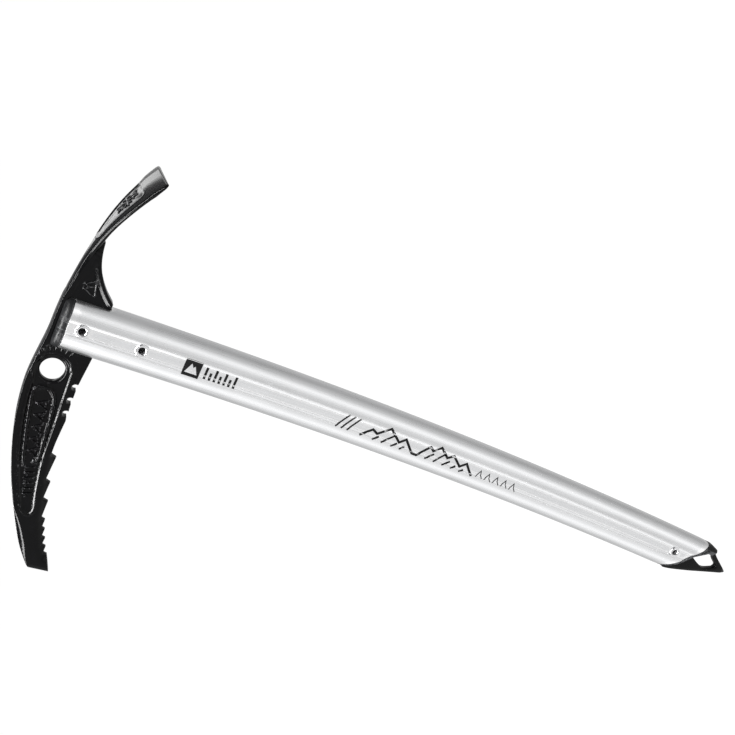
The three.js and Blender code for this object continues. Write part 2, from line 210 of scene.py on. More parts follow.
print("each shaping step is a function:", ", ".join(f.__name__ for f in (make_piece, shade, carve)))

# %% [markdown]
# Next come the shapes themselves: a skin over rings, a plain slab, a turned part, and two cutters, a
# round bar for holes and a block for slots. A cutter reaches well past the piece, since a boolean goes
# wrong when two faces only touch.

# %% Skins, slabs and turned parts


def skin(name, rings, sharp_degrees=40):
    """A closed piece over a stack of equal rings, with a flat cap at each end."""
    rings = np.asarray(rings, float)
    count, width = rings.shape[:2]
    index = np.arange(count * width).reshape(count, width)
    turned = np.roll(index, -1, 1)
    sides = np.stack([index[:-1], turned[:-1], turned[1:], index[1:]], -1).reshape(-1, 4)
    faces = [*sides, index[0][::-1], index[-1]]
    return make_piece(name, rings.reshape(-1, 3), faces, sharp_degrees)


def slab(name, outline, half_thickness):
    """A plain plate with its outline in the side view."""
    outline = np.asarray(outline, float)
    near = np.column_stack([outline[:, 0], np.full(len(outline), -half_thickness), outline[:, 1]])
    return skin(name, [near, near * (1, -1, 1)])


def spin(name, profile, x, z, sides=64, sharp_degrees=35):
    """A closed profile of (radius, y) turned about a cross axis at (x, z)."""
    turns = np.linspace(0, 2 * math.pi, sides, endpoint=False)
    profile = np.asarray(profile, float)
    rings = np.stack([
        np.column_stack([x + profile[:, 0] * math.cos(a), profile[:, 1], z + profile[:, 0] * math.sin(a)])
        for a in turns
    ])
    width = len(profile)
    index = np.arange(sides * width).reshape(sides, width)
    over, up = np.roll(index, -1, 0), np.roll(index, -1, 1)
    faces = np.stack([index, over, np.roll(over, -1, 1), up], -1).reshape(-1, 4)
    return make_piece(name, rings.reshape(-1, 3), faces, sharp_degrees)


def cross_pin(x, z, radius, half_length=30, sides=64):
    """A round bar through the thickness, for cutting holes."""
    return slab("cutter", ring_points(x, z, radius, sides), half_length)


def block(x0, x1, y0, y1, z0, z1):
    """A plain box, for cutting slots."""
    low = [[x0, y0, z0], [x1, y0, z0], [x1, y1, z0], [x0, y1, z0]]
    high = [[x0, y0, z1], [x1, y0, z1], [x1, y1, z1], [x0, y1, z1]]
    return skin("cutter", [low, high])


print("and so is each kind of shape:", ", ".join(f.__name__ for f in (skin, slab, spin, cross_pin, block)))

# %% [markdown]
# ## The relief plate
# A relief plate is filled with a Delaunay mesh. Points are placed in loops beside each edge, where the
# surface turns quickly, along every border that must look crisp, and on a loose grid elsewhere. Then
# each point gets its half thickness from a function, and the two faces are stitched along the rims.

# %% Relief plate
EDGE_LOOPS = (0.08, 0.25, 0.5, 0.9)  # distances of the extra loops inside an edge
EDGE_STEP = 0.7
LOOP_SHARE = 0.8  # a loop point stays if it is this share of the first loop's distance from every edge
GRID_MARGIN = 0.1  # the loose grid starts this far beyond the last loop


def beside(loop, offset):
    """The points of a closed loop, each moved sideways by an offset."""
    ahead = np.roll(loop, -1, 0) - np.roll(loop, 1, 0)
    ahead /= np.maximum(np.linalg.norm(ahead, axis=1), 1e-9)[:, None]
    return loop + np.column_stack([-ahead[:, 1], ahead[:, 0]]) * offset


def fill_points(outline, holes, spacing, extra):
    """The outline, its loops, the chosen extra points and a grid, and the edges that must be kept."""
    loops = [walk(loop, EDGE_STEP) for loop in [outline, *holes]]
    rims = np.vstack(loops)
    inner = [beside(loop, offset * side) for loop in loops for offset in EDGE_LOOPS for side in (1, -1)]
    low, high = rims.min(0), rims.max(0)
    grid = np.stack(np.meshgrid(np.arange(low[0], high[0], spacing),
                                np.arange(low[1], high[1], spacing)), -1)
    grid[1::2, :, 0] += spacing / 2
    near_rim = np.vstack(inner)
    loose = np.vstack([grid.reshape(-1, 2), *extra])

    def keep(points, clearance):
        clear = inside(points, loops[0])
        for hole in loops[1:]:
            clear &= ~inside(points, hole)
        gap = np.min([distance_to(points, loop, closed=True) for loop in loops], 0)
        return points[clear & (gap > clearance)]

    near_rim = keep(near_rim, EDGE_LOOPS[0] * LOOP_SHARE)
    loose = keep(loose, EDGE_LOOPS[-1] + GRID_MARGIN)
    points = np.vstack([rims, near_rim, loose])
    edges, start = [], 0
    for loop in loops:
        stop = start + len(loop)
        edges += [(i, i + 1 if i + 1 < stop else start) for i in range(start, stop)]
        start = stop
    return points, edges, loops


def relief_plate(name, outline, holes, half_thickness, spacing, extra=(), sharp_degrees=40):
    """A plate from an outline and holes in the side view; half_thickness(points) shapes both faces."""
    points, edges, loops = fill_points(outline, holes, spacing, extra)
    flat, _, faces, *_ = delaunay_2d_cdt([Vector(p) for p in points], edges, [], 0, 1e-4)
    flat = np.array([tuple(v) for v in flat])
    faces = np.array([f for f in faces if len(f) == 3])
    centres = flat[faces].mean(1)
    kept = inside(centres, loops[0])
    for hole in loops[1:]:
        kept &= ~inside(centres, hole)
    faces = faces[kept]
    half = half_thickness(flat)
    near = np.column_stack([flat[:, 0], -half, flat[:, 1]])
    far = near * (1, -1, 1)
    sides = np.vstack([faces[:, [0, 1]], faces[:, [1, 2]], faces[:, [2, 0]]])
    known = {(int(a), int(b)) for a, b in sides}
    count = len(flat)
    rim = [(b, a, a + count, b + count) for a, b in known if (b, a) not in known]
    everything = [*faces, *(faces[:, ::-1] + count), *rim]
    return make_piece(name, np.vstack([near, far]), everything, sharp_degrees)


print("extra loops beside an edge:", len(EDGE_LOOPS), "the last of them", EDGE_LOOPS[-1], "mm inside")

# %% [markdown]
# ## The shaft's line and section
# The tube is drawn aluminium: an oval with a shallow flute down each side, bowed towards the pick as it
# nears the foot. Its section is a superellipse, fuller than an ellipse, and the flute is a flat floor
# with soft shoulders and a fine scored line on each side. Everything that touches the tube (packing,
# plug, rivets, printing) asks these same functions where the surface is.

# %% Shaft line and section
TUBE_HALF_WIDTH = 15.5
TUBE_HALF_THICKNESS = 10
OVAL_POWER = 2.6
TUBE_WALL = 1.8
CLEARANCE = 0.3
SHAFT_BOW = 27.2
SHAFT_RUN = 482.3
FLUTE_FLOOR = 9.4
FLUTE_HALF = 2.7
FLUTE_EDGE = 4.6
SCORE_DEPTH = 0.16
SCORE_HALF = 0.16
FLUTE_COLUMNS = [5.2, 4.76, 4.6, 4.44, 4.1, 3.7, 3.2, 2.86, 2.7, 2.54, 1.3]  # close beside the scored lines
FLUTE_REACH = 5.6  # outside this the section's points are spaced by angle


def shaft_x(z):
    """Where the shaft's axis is at a height."""
    return -SHAFT_BOW * (np.maximum(TUBE_TOP - z, 0) / SHAFT_RUN) ** 2


def shaft_tilt(z):
    """How far the shaft leans at a height, in radians."""
    return np.arctan(2 * SHAFT_BOW * np.maximum(TUBE_TOP - z, 0) / SHAFT_RUN**2)


def oval_y(u, inset=0):
    """Half thickness of the plain oval at a distance u from its middle."""
    across = np.clip(np.abs(u) / (TUBE_HALF_WIDTH - inset), 0, 1)
    return (TUBE_HALF_THICKNESS - inset) * (1 - across**OVAL_POWER) ** (1 / OVAL_POWER)


def fluted_y(u):
    """Half thickness of the tube's outside, with its flute and the two scored lines beside it."""
    u = np.abs(u)
    y = FLUTE_FLOOR + (oval_y(u) - FLUTE_FLOOR) * ease(u, FLUTE_HALF, FLUTE_EDGE)
    for line in (FLUTE_HALF, FLUTE_EDGE):
        y = y - SCORE_DEPTH * np.clip(1 - np.abs(u - line) / SCORE_HALF, 0, 1)
    return y


def section(inset=0, fluted=False, round_steps=22):
    """The whole section as a ring of (u, y)."""
    turn = np.linspace(0, math.pi / 2, round_steps + 1)
    wide = np.cos(turn) ** (2 / OVAL_POWER)
    round_part = wide[wide * TUBE_HALF_WIDTH > FLUTE_REACH] * (TUBE_HALF_WIDTH - inset)
    u = np.concatenate([round_part, FLUTE_COLUMNS])
    y = fluted_y(u) if fluted else oval_y(u, inset)
    near_half = np.concatenate([u, [0], -u[::-1]])
    y_half = np.concatenate([y, [FLUTE_FLOOR if fluted else TUBE_HALF_THICKNESS - inset], y[::-1]])
    return np.vstack([np.column_stack([near_half, y_half]), np.column_stack([-near_half, -y_half])[1:-1]])


def on_shaft(u, y, z):
    """Points of a section at a height, turned to stand square to the bowed line."""
    u, y, z = np.broadcast_arrays(u, y, z)
    tilt = shaft_tilt(z)
    return np.stack([shaft_x(z) + u * np.cos(tilt), y, z - u * np.sin(tilt)], -1)


def shaft_solid(name, inset, z_low, z_high, steps, fluted=False):
    """A solid stretch of the shaft's section."""
    ring = section(inset, fluted)
    heights = np.linspace(z_low, z_high, steps + 1)
    return skin(name, [on_shaft(ring[:, 0], ring[:, 1], z) for z in heights])


print("points round the tube:", len(section(0, True)))

# %% [markdown]
# ## The tube
# Its foot is cut on a long wave, so the spike seems to grow out of it. Each lengthwise line of the
# mesh therefore ends on that cut: its lowest height is found by halving a guess until it meets the
# wave. The slots for the head's plate and the three pairs of rivet holes are cut out afterwards, as
# the factory does.

# %% Tube
FOOT_CUT = curve_through([
    [-2, 31], [-11.5, 30.2], [-15, 33.2], [-20, 39.6], [-23.6, 45], [-27.4, 49.2],
    [-31, 53], [-34, 57.4], [-37, 63], [-39.8, 71.5], [-43.4, 86],
], 60)
SLOT_BOTTOM = TUBE_TOP - 20
SLOT_HALF = 3.8
SLOT_REACH = 20  # the slots' cutter passes this far to both sides of the axis
RIVET_HOLE = 2.9
RIM_ROUND = 0.28
FOOT_SEARCH = (10.0, 110.0)  # heights between which the cut is looked for
HALVINGS = 40
OUTER_ROWS = 90
INNER_ROWS = 30


def cut_height(x):
    """Height of the wavy cut at a place across the foot."""
    return np.interp(x, FOOT_CUT[::-1, 0], FOOT_CUT[::-1, 1])


def foot_of(u):
    """The height at which each lengthwise line of the tube meets the cut."""
    low, high = (np.full(len(u), height) for height in FOOT_SEARCH)
    for _ in range(HALVINGS):
        middle = (low + high) / 2
        line = on_shaft(u, 0, middle)
        above = line[:, 2] > cut_height(line[:, 0])
        high = np.where(above, middle, high)
        low = np.where(above, low, middle)
    return (low + high) / 2


def wall_rows(ring, rim, rows):
    """Rings of one wall, from its rounded top rim down to its rounded foot."""
    foot = foot_of(ring[:, 0])
    share = np.linspace(0, 1, rows)
    heights = [TUBE_TOP - rim - (TUBE_TOP - rim - foot - rim) * s for s in share]
    return [on_shaft(ring[:, 0], ring[:, 1], z) for z in heights]


def build_tube():
    outer, inner = section(0, True), section(TUBE_WALL, False)
    edge_out, edge_in = section(RIM_ROUND, True), section(TUBE_WALL - RIM_ROUND, False)
    edge_out[:, 1] = outer[:, 1] * (1 - RIM_ROUND / TUBE_HALF_THICKNESS)
    stack = wall_rows(outer, RIM_ROUND, OUTER_ROWS)
    stack += [wall_rows(edge_out, 0, 2)[-1], wall_rows(edge_in, 0, 2)[-1]]
    stack += wall_rows(inner, RIM_ROUND, INNER_ROWS)[::-1]
    stack += [wall_rows(edge_in, 0, 2)[0], wall_rows(edge_out, 0, 2)[0]]
    stack = np.stack(stack)
    count, width = stack.shape[:2]
    index = np.arange(count * width).reshape(count, width)
    down, round_ = np.roll(index, -1, 0), np.roll(index, -1, 1)
    faces = np.stack([index, round_, np.roll(down, -1, 1), down], -1).reshape(-1, 4)
    tube = make_piece("drawn_tube", stack.reshape(-1, 3), faces)
    slots = block(-SLOT_REACH, SLOT_REACH, -SLOT_HALF, SLOT_HALF, SLOT_BOTTOM, TUBE_TOP + 5)
    carve(tube, slots, "DIFFERENCE")
    for z in (UPPER_RIVET_Z, LOWER_RIVET_Z, SPIKE_RIVET_Z):
        carve(tube, cross_pin(float(shaft_x(z)), z, RIVET_HOLE), "DIFFERENCE")
    shade(tube, 25)
    return tube


tube = build_tube()
print("tube:", len(tube.data.polygons), "faces")

# %% [markdown]
# ## The head's side view
# Pick, web and tang are one forged plate. Its outline is a handful of curves: the long spine, the
# pick's cut end, the teeth, three grip notches under the carabiner hole, the tang inside the tube and
# the inner edge of the web. Teeth are listed as gullet and tip pairs, since a filed tooth is two
# straight cuts.

# %% Head outline
SPINE = curve_through([
    [-154.5, 491], [-141.5, 500], [-125.6, 507.7], [-103.9, 516.5], [-92.2, 520.5], [-76.5, 524.9],
    [-58.9, 528.4], [-42.7, 530], [-29.6, 529.7], [-9.5, 527.6], [5, 527.1], [17, 526.3], [30, 524.6],
    [43, 522],
], 160)
PICK_TIP = [-154.5, 478.5]
TEETH = [
    [-79.8, 501.8], [-80.6, 498.3], [-96.3, 499.5], [-97, 496.3], [-108.7, 497], [-109.3, 493.6],
    [-121.1, 493.8], [-121.5, 491.3], [-127.1, 491.4], [-127.5, 489.4], [-133, 489.6], [-133.4, 487.3],
    [-138.4, 487.8], [-138.8, 485.2], [-143.4, 485.4], [-143.8, 482.9],
]
NOTCH_CENTRES = [[-35.4, 502.6], [-43.9, 502.6], [-52.3, 502.3]]
NOTCH_RADIUS = 2.15
NOTCH_LIP = 501.5
UNDERSIDE = curve_through([[-56.4, 501], [-62, 501.4], [-71, 501.9], [-79.8, 501.8]], 10)[:-1]
WEB_EDGE = curve_through([
    [18.4, 499.9], [23.7, 505], [29.9, 509.4], [36.4, 512.6], [43, 514.4], [50, 515.2],
], 30)
TANG_HALF = 11
TANG_BOTTOM = 466
TANG_CORNER = 4
TANG_SHOULDER = 499.8
SPINE_DIP = 1.0  # the plate dives this far under the adze blade
SPINE_DIP_RUN = (14, 24)  # between these places
PLATE_END_X = 36  # where the plate's own spine ends, inside the adze
HOLE = (-29.1, 517.8)
HOLE_RADIUS = 6.9


def notch(centre):
    """A round-bottomed notch, from its pick-side lip to its shaft-side lip."""
    turn = np.radians(np.linspace(205, -25, 12))
    return np.array(centre) + NOTCH_RADIUS * np.column_stack([np.cos(turn), np.sin(turn)])


def head_outline():
    """The whole plate, anticlockwise with x to the right and z up."""
    spine = SPINE[SPINE[:, 0] < PLATE_END_X]
    spine = spine - [0, 1] * (SPINE_DIP * ease(spine[:, :1], *SPINE_DIP_RUN))
    grip = [[-15.8, 499.8], [-29.3, 501.2], [-32.6, NOTCH_LIP]]
    for centre in NOTCH_CENTRES:
        grip += [*notch(centre)[::-1]]
    tang = [
        [16, TANG_SHOULDER], [TANG_HALF, TANG_SHOULDER], [TANG_HALF, TANG_BOTTOM + TANG_CORNER],
        [TANG_HALF - TANG_CORNER, TANG_BOTTOM], [TANG_CORNER - TANG_HALF, TANG_BOTTOM],
        [-TANG_HALF, TANG_BOTTOM + TANG_CORNER], [-TANG_HALF, TANG_SHOULDER],
    ]
    clockwise = [*spine, [50, 518.5], *WEB_EDGE[::-1], *tang, *grip, *UNDERSIDE, *TEETH, PICK_TIP]
    return np.array(clockwise, float)[::-1]


HEAD_OUTLINE = head_outline()
print("head outline:", len(HEAD_OUTLINE), "points")

# %% [markdown]
# ## The panel, the loop and the raised pattern
# A forging die leaves a sunk panel down each side of the pick, which starts as a ledge round the
# carabiner hole, and a raised loop inside it. The real axe carries words there. This one gets a plain
# row of peaks and bars instead, raised the same way, so that the panel still catches small points of
# light. Each pattern is a list of short strokes worked out along the panel's middle line.

# %% Panel, loop and pattern
PANEL_RIM = 4.4
PANEL_SPAN = (-113, -38)  # where its upper border follows the spine
LEDGE_RADIUS = 10.1
LEDGE_TURN = (112, -72)  # degrees round the hole


def panel_outline():
    """Under the spine, round the hole, and back along the tooth side."""
    top = SPINE[(SPINE[:, 0] > PANEL_SPAN[0]) & (SPINE[:, 0] < PANEL_SPAN[1])] - [0, PANEL_RIM]
    turn = np.radians(np.linspace(*LEDGE_TURN, 24))
    ledge = np.array(HOLE) + LEDGE_RADIUS * np.column_stack([np.cos(turn), np.sin(turn)])
    foot = curve_through([
        [-27.5, 507.2], [-42, 506.8], [-63, 505.9], [-83, 505.4], [-104, 502.5], [-115, 500.3],
        [-118.6, 501.2], [-119, 503.8], [-116, 507],
    ], 80)
    return np.vstack([top, ledge, foot])[::-1]


def panel_middle(x):
    """Height of the panel's middle line."""
    return np.interp(x, [-118, -104, -83, -63, -48], [503.6, 507.4, 511.8, 514.8, 516.8])


PEAKS, PEAKS_FROM, PEAK_STEP, PEAK_RUN, PEAK_HALF = 5, -47.5, 7.4, 2.9, 3.0
BARS, BARS_FROM, BAR_PITCH, BAR_LEAN, BAR_HALF = 6, -89.5, 3.3, 1.2, 2.4


def panel_strokes():
    """Raised peaks inside the loop, then slanted bars with short heads towards the pick's end."""
    strokes = []

    def stroke(x0, v0, x1, v1):
        strokes.append(np.array([[x0, panel_middle(x0) + v0], [x1, panel_middle(x1) + v1]]))

    for k in range(PEAKS):
        x = PEAKS_FROM - PEAK_STEP * k
        height = PEAK_HALF - 0.2 * k
        stroke(x, -height, x - PEAK_RUN, height)
        stroke(x - PEAK_RUN, height, x - 2 * PEAK_RUN, -height)
        stroke(x - 2.2, -height * 0.7, x - 3.6, -height * 0.7)
    for k in range(BARS):
        x = BARS_FROM - BAR_PITCH * k
        head_at = BAR_HALF - BAR_LEAN * (k % 2)
        stroke(x, -BAR_HALF, x - BAR_LEAN, BAR_HALF)
        stroke(x - BAR_LEAN, head_at, x - 2.6, head_at)
    return strokes


PANEL = panel_outline()
LOOP = curve_through([
    [-86, 509.5], [-84, 507.7], [-68, 508.6], [-53, 509.7], [-46, 511], [-41.6, 513.5], [-40, 516.7],
    [-41, 521], [-44, 523.6], [-50, 522.9], [-61, 521], [-71, 519], [-85.5, 515.6], [-89.5, 513.6],
], 90)
STROKES = panel_strokes()
TICK_RADII = (13.0, 15.0)
TICK_TURNS = range(-26, 80, 13)  # degrees round the hole
TICKS = []
for degrees in TICK_TURNS:
    arm = np.array([math.cos(math.radians(degrees)), math.sin(math.radians(degrees))])
    TICKS.append(np.array([np.array(HOLE) + arm * r for r in TICK_RADII]))
WEB_MARK = [np.array(line, float) for line in (
    [[19.6, 512.2], [22.2, 517.6], [24.4, 513.4]], [[23.6, 515], [25.2, 517.8], [27.4, 513.6]],
    [[20.2, 510.6], [25.8, 511.8]],
)]
print("raised strokes on the pick:", len(STROKES))

# %% [markdown]
# ## The head plate's thickness
# One function shapes both faces. It starts from the 7 mm plate and adds, in turn: the flange that
# widens the spine over the tube, the bead along the web's edge and its swelling into the adze, the
# sunk panel with its bevelled wall and fine ridge, the loop and strokes, the chamfer on the spine near
# the pick's end, the ground bevel on the end itself and the filed sides of the teeth, and last the
# rounding of every edge. A pair such as `LOOP_RIDGE` holds a half width and a height.

# %% Head plate
PLATE_HALF = 3.5
FLANGE_HALF = 5.0
BEAD_HALF = 4.7
PANEL_DEPTH = 0.85
BEVEL_WIDTH = 0.95
TOOTH_THINNING = 2.2  # how much of each side is filed away at the teeth
TOOTH_BAND = 5.5
EDGE_ROUND = 0.75
TOOTH_ROUND = 0.35
FLANGE_FADE = (2.4, 5.2)  # distances from the spine
FLANGE_RUN = (-46, -14)
BEAD_FADE = (1.6, 3.6)  # distances from the web's edge
BEAD_RUN = (14, 18, 38, 46)  # it comes in between the first two places and goes between the others
ADZE_SWELL = 1.5  # how much thicker the plate gets where the adze grows out of it
SWELL_DEPTH = 5.4  # the swelling's middle lies this far under the spine
SWELL_REACH = 5
SWELL_RUN = (18, 40)
RIM_RIDGE = 0.2  # a fine ridge just outside the panel, and a finer groove outside that
RIM_RIDGE_AT = 0.7
RIM_GROOVE = 0.12
RIM_GROOVE_AT = 1.9
LOOP_RIDGE = (1.45, 0.95)
STROKE_RIDGE = (0.72, 0.75)
TICK_GROOVE = (0.6, 0.4)
WEB_RIDGE = (0.55, 0.5)
CHAMFER_WIDTH = 2.7
CHAMFER_SLOPE = 0.6
CHAMFER_RUN = (112, 134)  # how far out on the pick it comes in, and then narrows again
CHAMFER_NARROWS = (138, 153)
CHAMFER_LOSS = 0.85
END_BEVEL_WIDTH = 1.7
END_BEVEL_SLOPE = 0.8
HOLE_RIM_DROP = 0.5
HOLE_RIM_FADE = (0.2, 1.2)
FINE_ROUND_RUN = (56, 68)  # the edges get crisper between these distances out on the pick


def ridge(points, lines, half_width, height):
    """A rounded ridge along each of some lines."""
    near = np.min([distance_to(points, line) for line in lines], 0)
    return height * (1 - ease(near, half_width * 0.35, half_width))


def head_half_thickness(points):
    x, z = points.T
    from_edge = distance_to(points, walk(HEAD_OUTLINE, 2), closed=True)
    from_spine = distance_to(points, SPINE)
    from_web = distance_to(points, WEB_EDGE)
    flange = (1 - ease(from_spine, *FLANGE_FADE)) * ease(x, *FLANGE_RUN)
    half = PLATE_HALF + (FLANGE_HALF - PLATE_HALF) * flange
    bead = 1 - ease(from_web, *BEAD_FADE)
    bead *= ease(x, *BEAD_RUN[:2]) * (1 - ease(x, *BEAD_RUN[2:]))
    half = np.maximum(half, PLATE_HALF + (BEAD_HALF - PLATE_HALF) * bead)
    under_adze = SPINE[SPINE[:, 0] > 12] - [0, SWELL_DEPTH]
    swell = (1 - ease(distance_to(points, under_adze), 0, SWELL_REACH)) ** 2
    half += ADZE_SWELL * swell * ease(x, *SWELL_RUN)

    panel_gap = distance_to(points, PANEL, closed=True)
    within = np.where(inside(points, PANEL), panel_gap, -panel_gap)
    from_hole = np.hypot(x - HOLE[0], z - HOLE[1])
    half -= PANEL_DEPTH * np.clip(within / BEVEL_WIDTH, 0, 1)
    half += RIM_RIDGE * (1 - ease(np.abs(within + RIM_RIDGE_AT), 0.2, 0.8))
    half -= RIM_GROOVE * (1 - ease(np.abs(within + RIM_GROOVE_AT), 0.1, 0.5))
    on_floor = ease(within, BEVEL_WIDTH, BEVEL_WIDTH + 0.4)
    half += on_floor * ridge(points, [LOOP], *LOOP_RIDGE)
    half += on_floor * ridge(points, STROKES, *STROKE_RIDGE)
    half -= ridge(points, TICKS, *TICK_GROOVE)
    half += ridge(points, WEB_MARK, *WEB_RIDGE)

    chamfer = CHAMFER_WIDTH * ease(-x, *CHAMFER_RUN) * (1 - CHAMFER_LOSS * ease(-x, *CHAMFER_NARROWS))
    half -= np.clip(chamfer - from_spine, 0, CHAMFER_WIDTH) * CHAMFER_SLOPE
    half -= np.clip(END_BEVEL_WIDTH - (x - PICK_TIP[0]), 0, END_BEVEL_WIDTH) * END_BEVEL_SLOPE
    half -= HOLE_RIM_DROP * (1 - ease(from_hole - HOLE_RADIUS, *HOLE_RIM_FADE))
    from_teeth = distance_to(points, TEETH[1::2])
    half -= TOOTH_THINNING * (1 - ease(from_teeth, 0, TOOTH_BAND))
    radius = EDGE_ROUND + (TOOTH_ROUND - EDGE_ROUND) * ease(-x, *FINE_ROUND_RUN)
    return half - round_off(np.minimum(from_edge, np.abs(from_hole - HOLE_RADIUS)), radius)


panel_spot, web_spot = head_half_thickness(np.array([[-80.0, 506.6], [24.0, 508.0]]))
print("half thickness in the panel and on the web:", round(float(panel_spot), 2), round(float(web_spot), 2))

# %% [markdown]
# ## Crisp borders on the plate
# A thickness function is only as sharp as the mesh that samples it. So rows of points are laid along
# the panel's wall and beside each raised line, at the distances where the surface turns, and a fine
# grid fills the panel. Then the plate is built, with the carabiner hole and the two rivet holes in it.

# %% Crisp borders and the plate
PANEL_GRID = 0.62
LOOP_ROWS_HALF = 1.1


def border_points():
    """Points along the borders that must stay crisp, and a fine grid over the raised pattern."""
    loop = walk(PANEL, 0.6)
    rows = [beside(loop, offset) for offset in (-0.35, -0.05, 0.05, 0.65, 1.25, 1.4, -1.6, -2.2)]
    fine_lines = [*STROKES, *WEB_MARK, *TICKS]
    for line, half in [(LOOP, LOOP_ROWS_HALF), *((s, STROKE_RIDGE[0]) for s in fine_lines)]:
        path = walk(line, 0.45, closed=False)
        ahead = np.gradient(path, axis=0)
        ahead /= np.linalg.norm(ahead, axis=1)[:, None]
        side = np.column_stack([-ahead[:, 1], ahead[:, 0]])
        rows += [path + side * half * share for share in (-1, -0.4, 0, 0.4, 1)]
    x, z = np.meshgrid(np.arange(-112, -40, PANEL_GRID), np.arange(500, 526, PANEL_GRID))
    grid = np.column_stack([x.ravel(), z.ravel()])
    rows.append(grid[inside(grid, PANEL)])
    return rows


def build_plate():
    holes = [ring_points(*HOLE, HOLE_RADIUS, 72)]
    holes += [ring_points(float(shaft_x(z)), z, RIVET_HOLE, 40) for z in (UPPER_RIVET_Z, LOWER_RIVET_Z)]
    return relief_plate("head", HEAD_OUTLINE, holes, head_half_thickness, 1.3, border_points(), 34)


head = build_plate()
print("head plate:", len(head.data.polygons), "faces")

# %% [markdown]
# ## The adze
# The adze is the same steel, spread sideways by the forge: it leaves the spine as wide as the plate,
# and opens into a broad, slightly crowned blade. It is a stack of sections along its middle line. The
# sections share one layout: close columns by the two side edges, even ones between, so the rounded
# edge and the sunk panel's border keep their width while the blade grows. It starts inside the plate,
# a little low, so that the join is a soft crossing. A boolean makes the two one forging.

# %% Adze
ADZE_LINE = curve_through([
    [8, 526.9], [17, 526.3], [30, 524.7], [43, 522.5], [58.5, 518.9], [72, 514.1], [86, 507.4],
    [96.5, 501],
], 170)
EDGE_COLUMNS = (0, 0.1, 0.3, 0.6, 0.95, 1.4)
MIDDLE_COLUMNS = 84
ADZE_ROUND = 0.8
ADZE_CORNER = 3.5
ADZE_PANEL = (44, 80)  # start and end of the sunk panel along the blade
ADZE_PANEL_WIDTH = 0.7
ADZE_PANEL_DEPTH = 0.5
ADZE_PANEL_CORNER = 4.0
ADZE_PANEL_WALL = 1.1
ADZE_RIM_RIDGE = 0.18
ADZE_SHARES = (0, 0.23, 0.37, 0.54, 0.7, 0.87, 1)  # along the blade
ADZE_HALVES = (4.4, 4.8, 5.8, 11.8, 18.2, 23.5, 27.5)  # its half width there
ADZE_DISH = 0.055  # slope of the panel's floor down to its middle
ADZE_DISH_REACH = 8  # the floor is level beyond this distance from its border
ADZE_END_RISE = 0.5  # the land beyond the panel stands a little proud
ADZE_CROWN = 2.3  # how far the side edges drop below the middle at the tip
ADZE_FLAT = 0.25  # share of the width that stays flat before the sides fall away
ADZE_MIDDLE = (5.6, 3.0)  # thickness in the middle, at the neck and at the tip
ADZE_SIDE = (2.9, 2.0)  # thickness at the side edges, at the neck and at the tip
LOWER_BEVEL_WIDTH = 1.1
LOWER_BEVEL_SLOPE = 0.4
SHARPENED_LENGTH = 9
SHARPENED_DEPTH = 1.1
UNDERSIDE_ROUND = 0.4
CRYSTAL_AT = 69.0
CRYSTAL_REACH = 8.2
TWIG_LENGTH = 3.1
CRYSTAL_RIDGE = (0.85, 0.6)  # half width and height


def adze_strokes():
    """A six-armed crystal, raised in the middle of the adze's panel, as lines of (along, across)."""
    centre = np.array([CRYSTAL_AT, 0])
    lines = []
    for k in range(6):
        a = math.radians(60 * k + 30)
        arm = np.array([math.cos(a), math.sin(a)])
        lines.append(np.array([centre + arm * CRYSTAL_REACH * 0.2, centre + arm * CRYSTAL_REACH]))
        for spread in (-0.75, 0.75):
            twig = np.array([math.cos(a + spread), math.sin(a + spread)])
            fork = centre + arm * CRYSTAL_REACH * 0.5
            lines.append(np.array([fork, fork + twig * TWIG_LENGTH]))
    return lines


ADZE_STROKES = adze_strokes()
print("strokes in the crystal:", len(ADZE_STROKES))

# %% [markdown]
# The blade's width comes from a short table, smoothed and rounded off at the two corners. Its outer
# face is a relief like the plate's, but measured along and across the blade.

# %% Adze width and relief


def adze_half_width(share, from_end):
    knots = curve_through(np.column_stack([ADZE_SHARES, ADZE_HALVES]), 60)
    return np.interp(share, knots[:, 0], knots[:, 1]) - round_off(from_end, ADZE_CORNER)


def adze_relief(along, across, half):
    """Height of the outer face: sunk panel, its fine ridge, and the raised crystal."""
    ends = np.minimum(along - ADZE_PANEL[0], ADZE_PANEL[1] - along)
    sides = half * ADZE_PANEL_WIDTH - np.abs(across)
    corner = ADZE_PANEL_CORNER
    in_corner = (ends < corner) & (sides < corner)
    cornered = corner - np.hypot(corner - ends, corner - sides)
    within = np.where(in_corner, cornered, np.minimum(ends, sides))
    relief = -ADZE_PANEL_DEPTH * np.clip(within / ADZE_PANEL_WALL, 0, 1)
    relief += ADZE_RIM_RIDGE * (1 - ease(np.abs(within + 0.6), 0.2, 0.7))
    relief += ADZE_END_RISE * ease(along, ADZE_PANEL[1] - 2, ADZE_PANEL[1] + 5)
    relief -= ADZE_DISH * np.clip(within, 0, ADZE_DISH_REACH)
    spots = np.column_stack([along.ravel(), across.ravel()])
    marks = ridge(spots, ADZE_STROKES, *CRYSTAL_RIDGE).reshape(along.shape)
    return relief + marks * ease(within, ADZE_PANEL_WALL, ADZE_PANEL_WALL + 0.4)


print("adze half width halfway along:", round(float(adze_half_width(0.5, np.array(50.0))), 1), "mm")

# %% [markdown]
# Now the sections. Each has an outer face from the relief, an under face from the thickness, a small
# bevel under each side edge, and near the tip the slope that sharpens it.

# %% Adze blade
COLUMN_GAP = 0.25  # between the last edge column and the first of the even ones
TIP_STEPS = (1.2, 0.8, 0.5, 0.25, 0.1, 0)  # sections close together, where the tip's edge is rounded
CROWN_POWER = 1.5


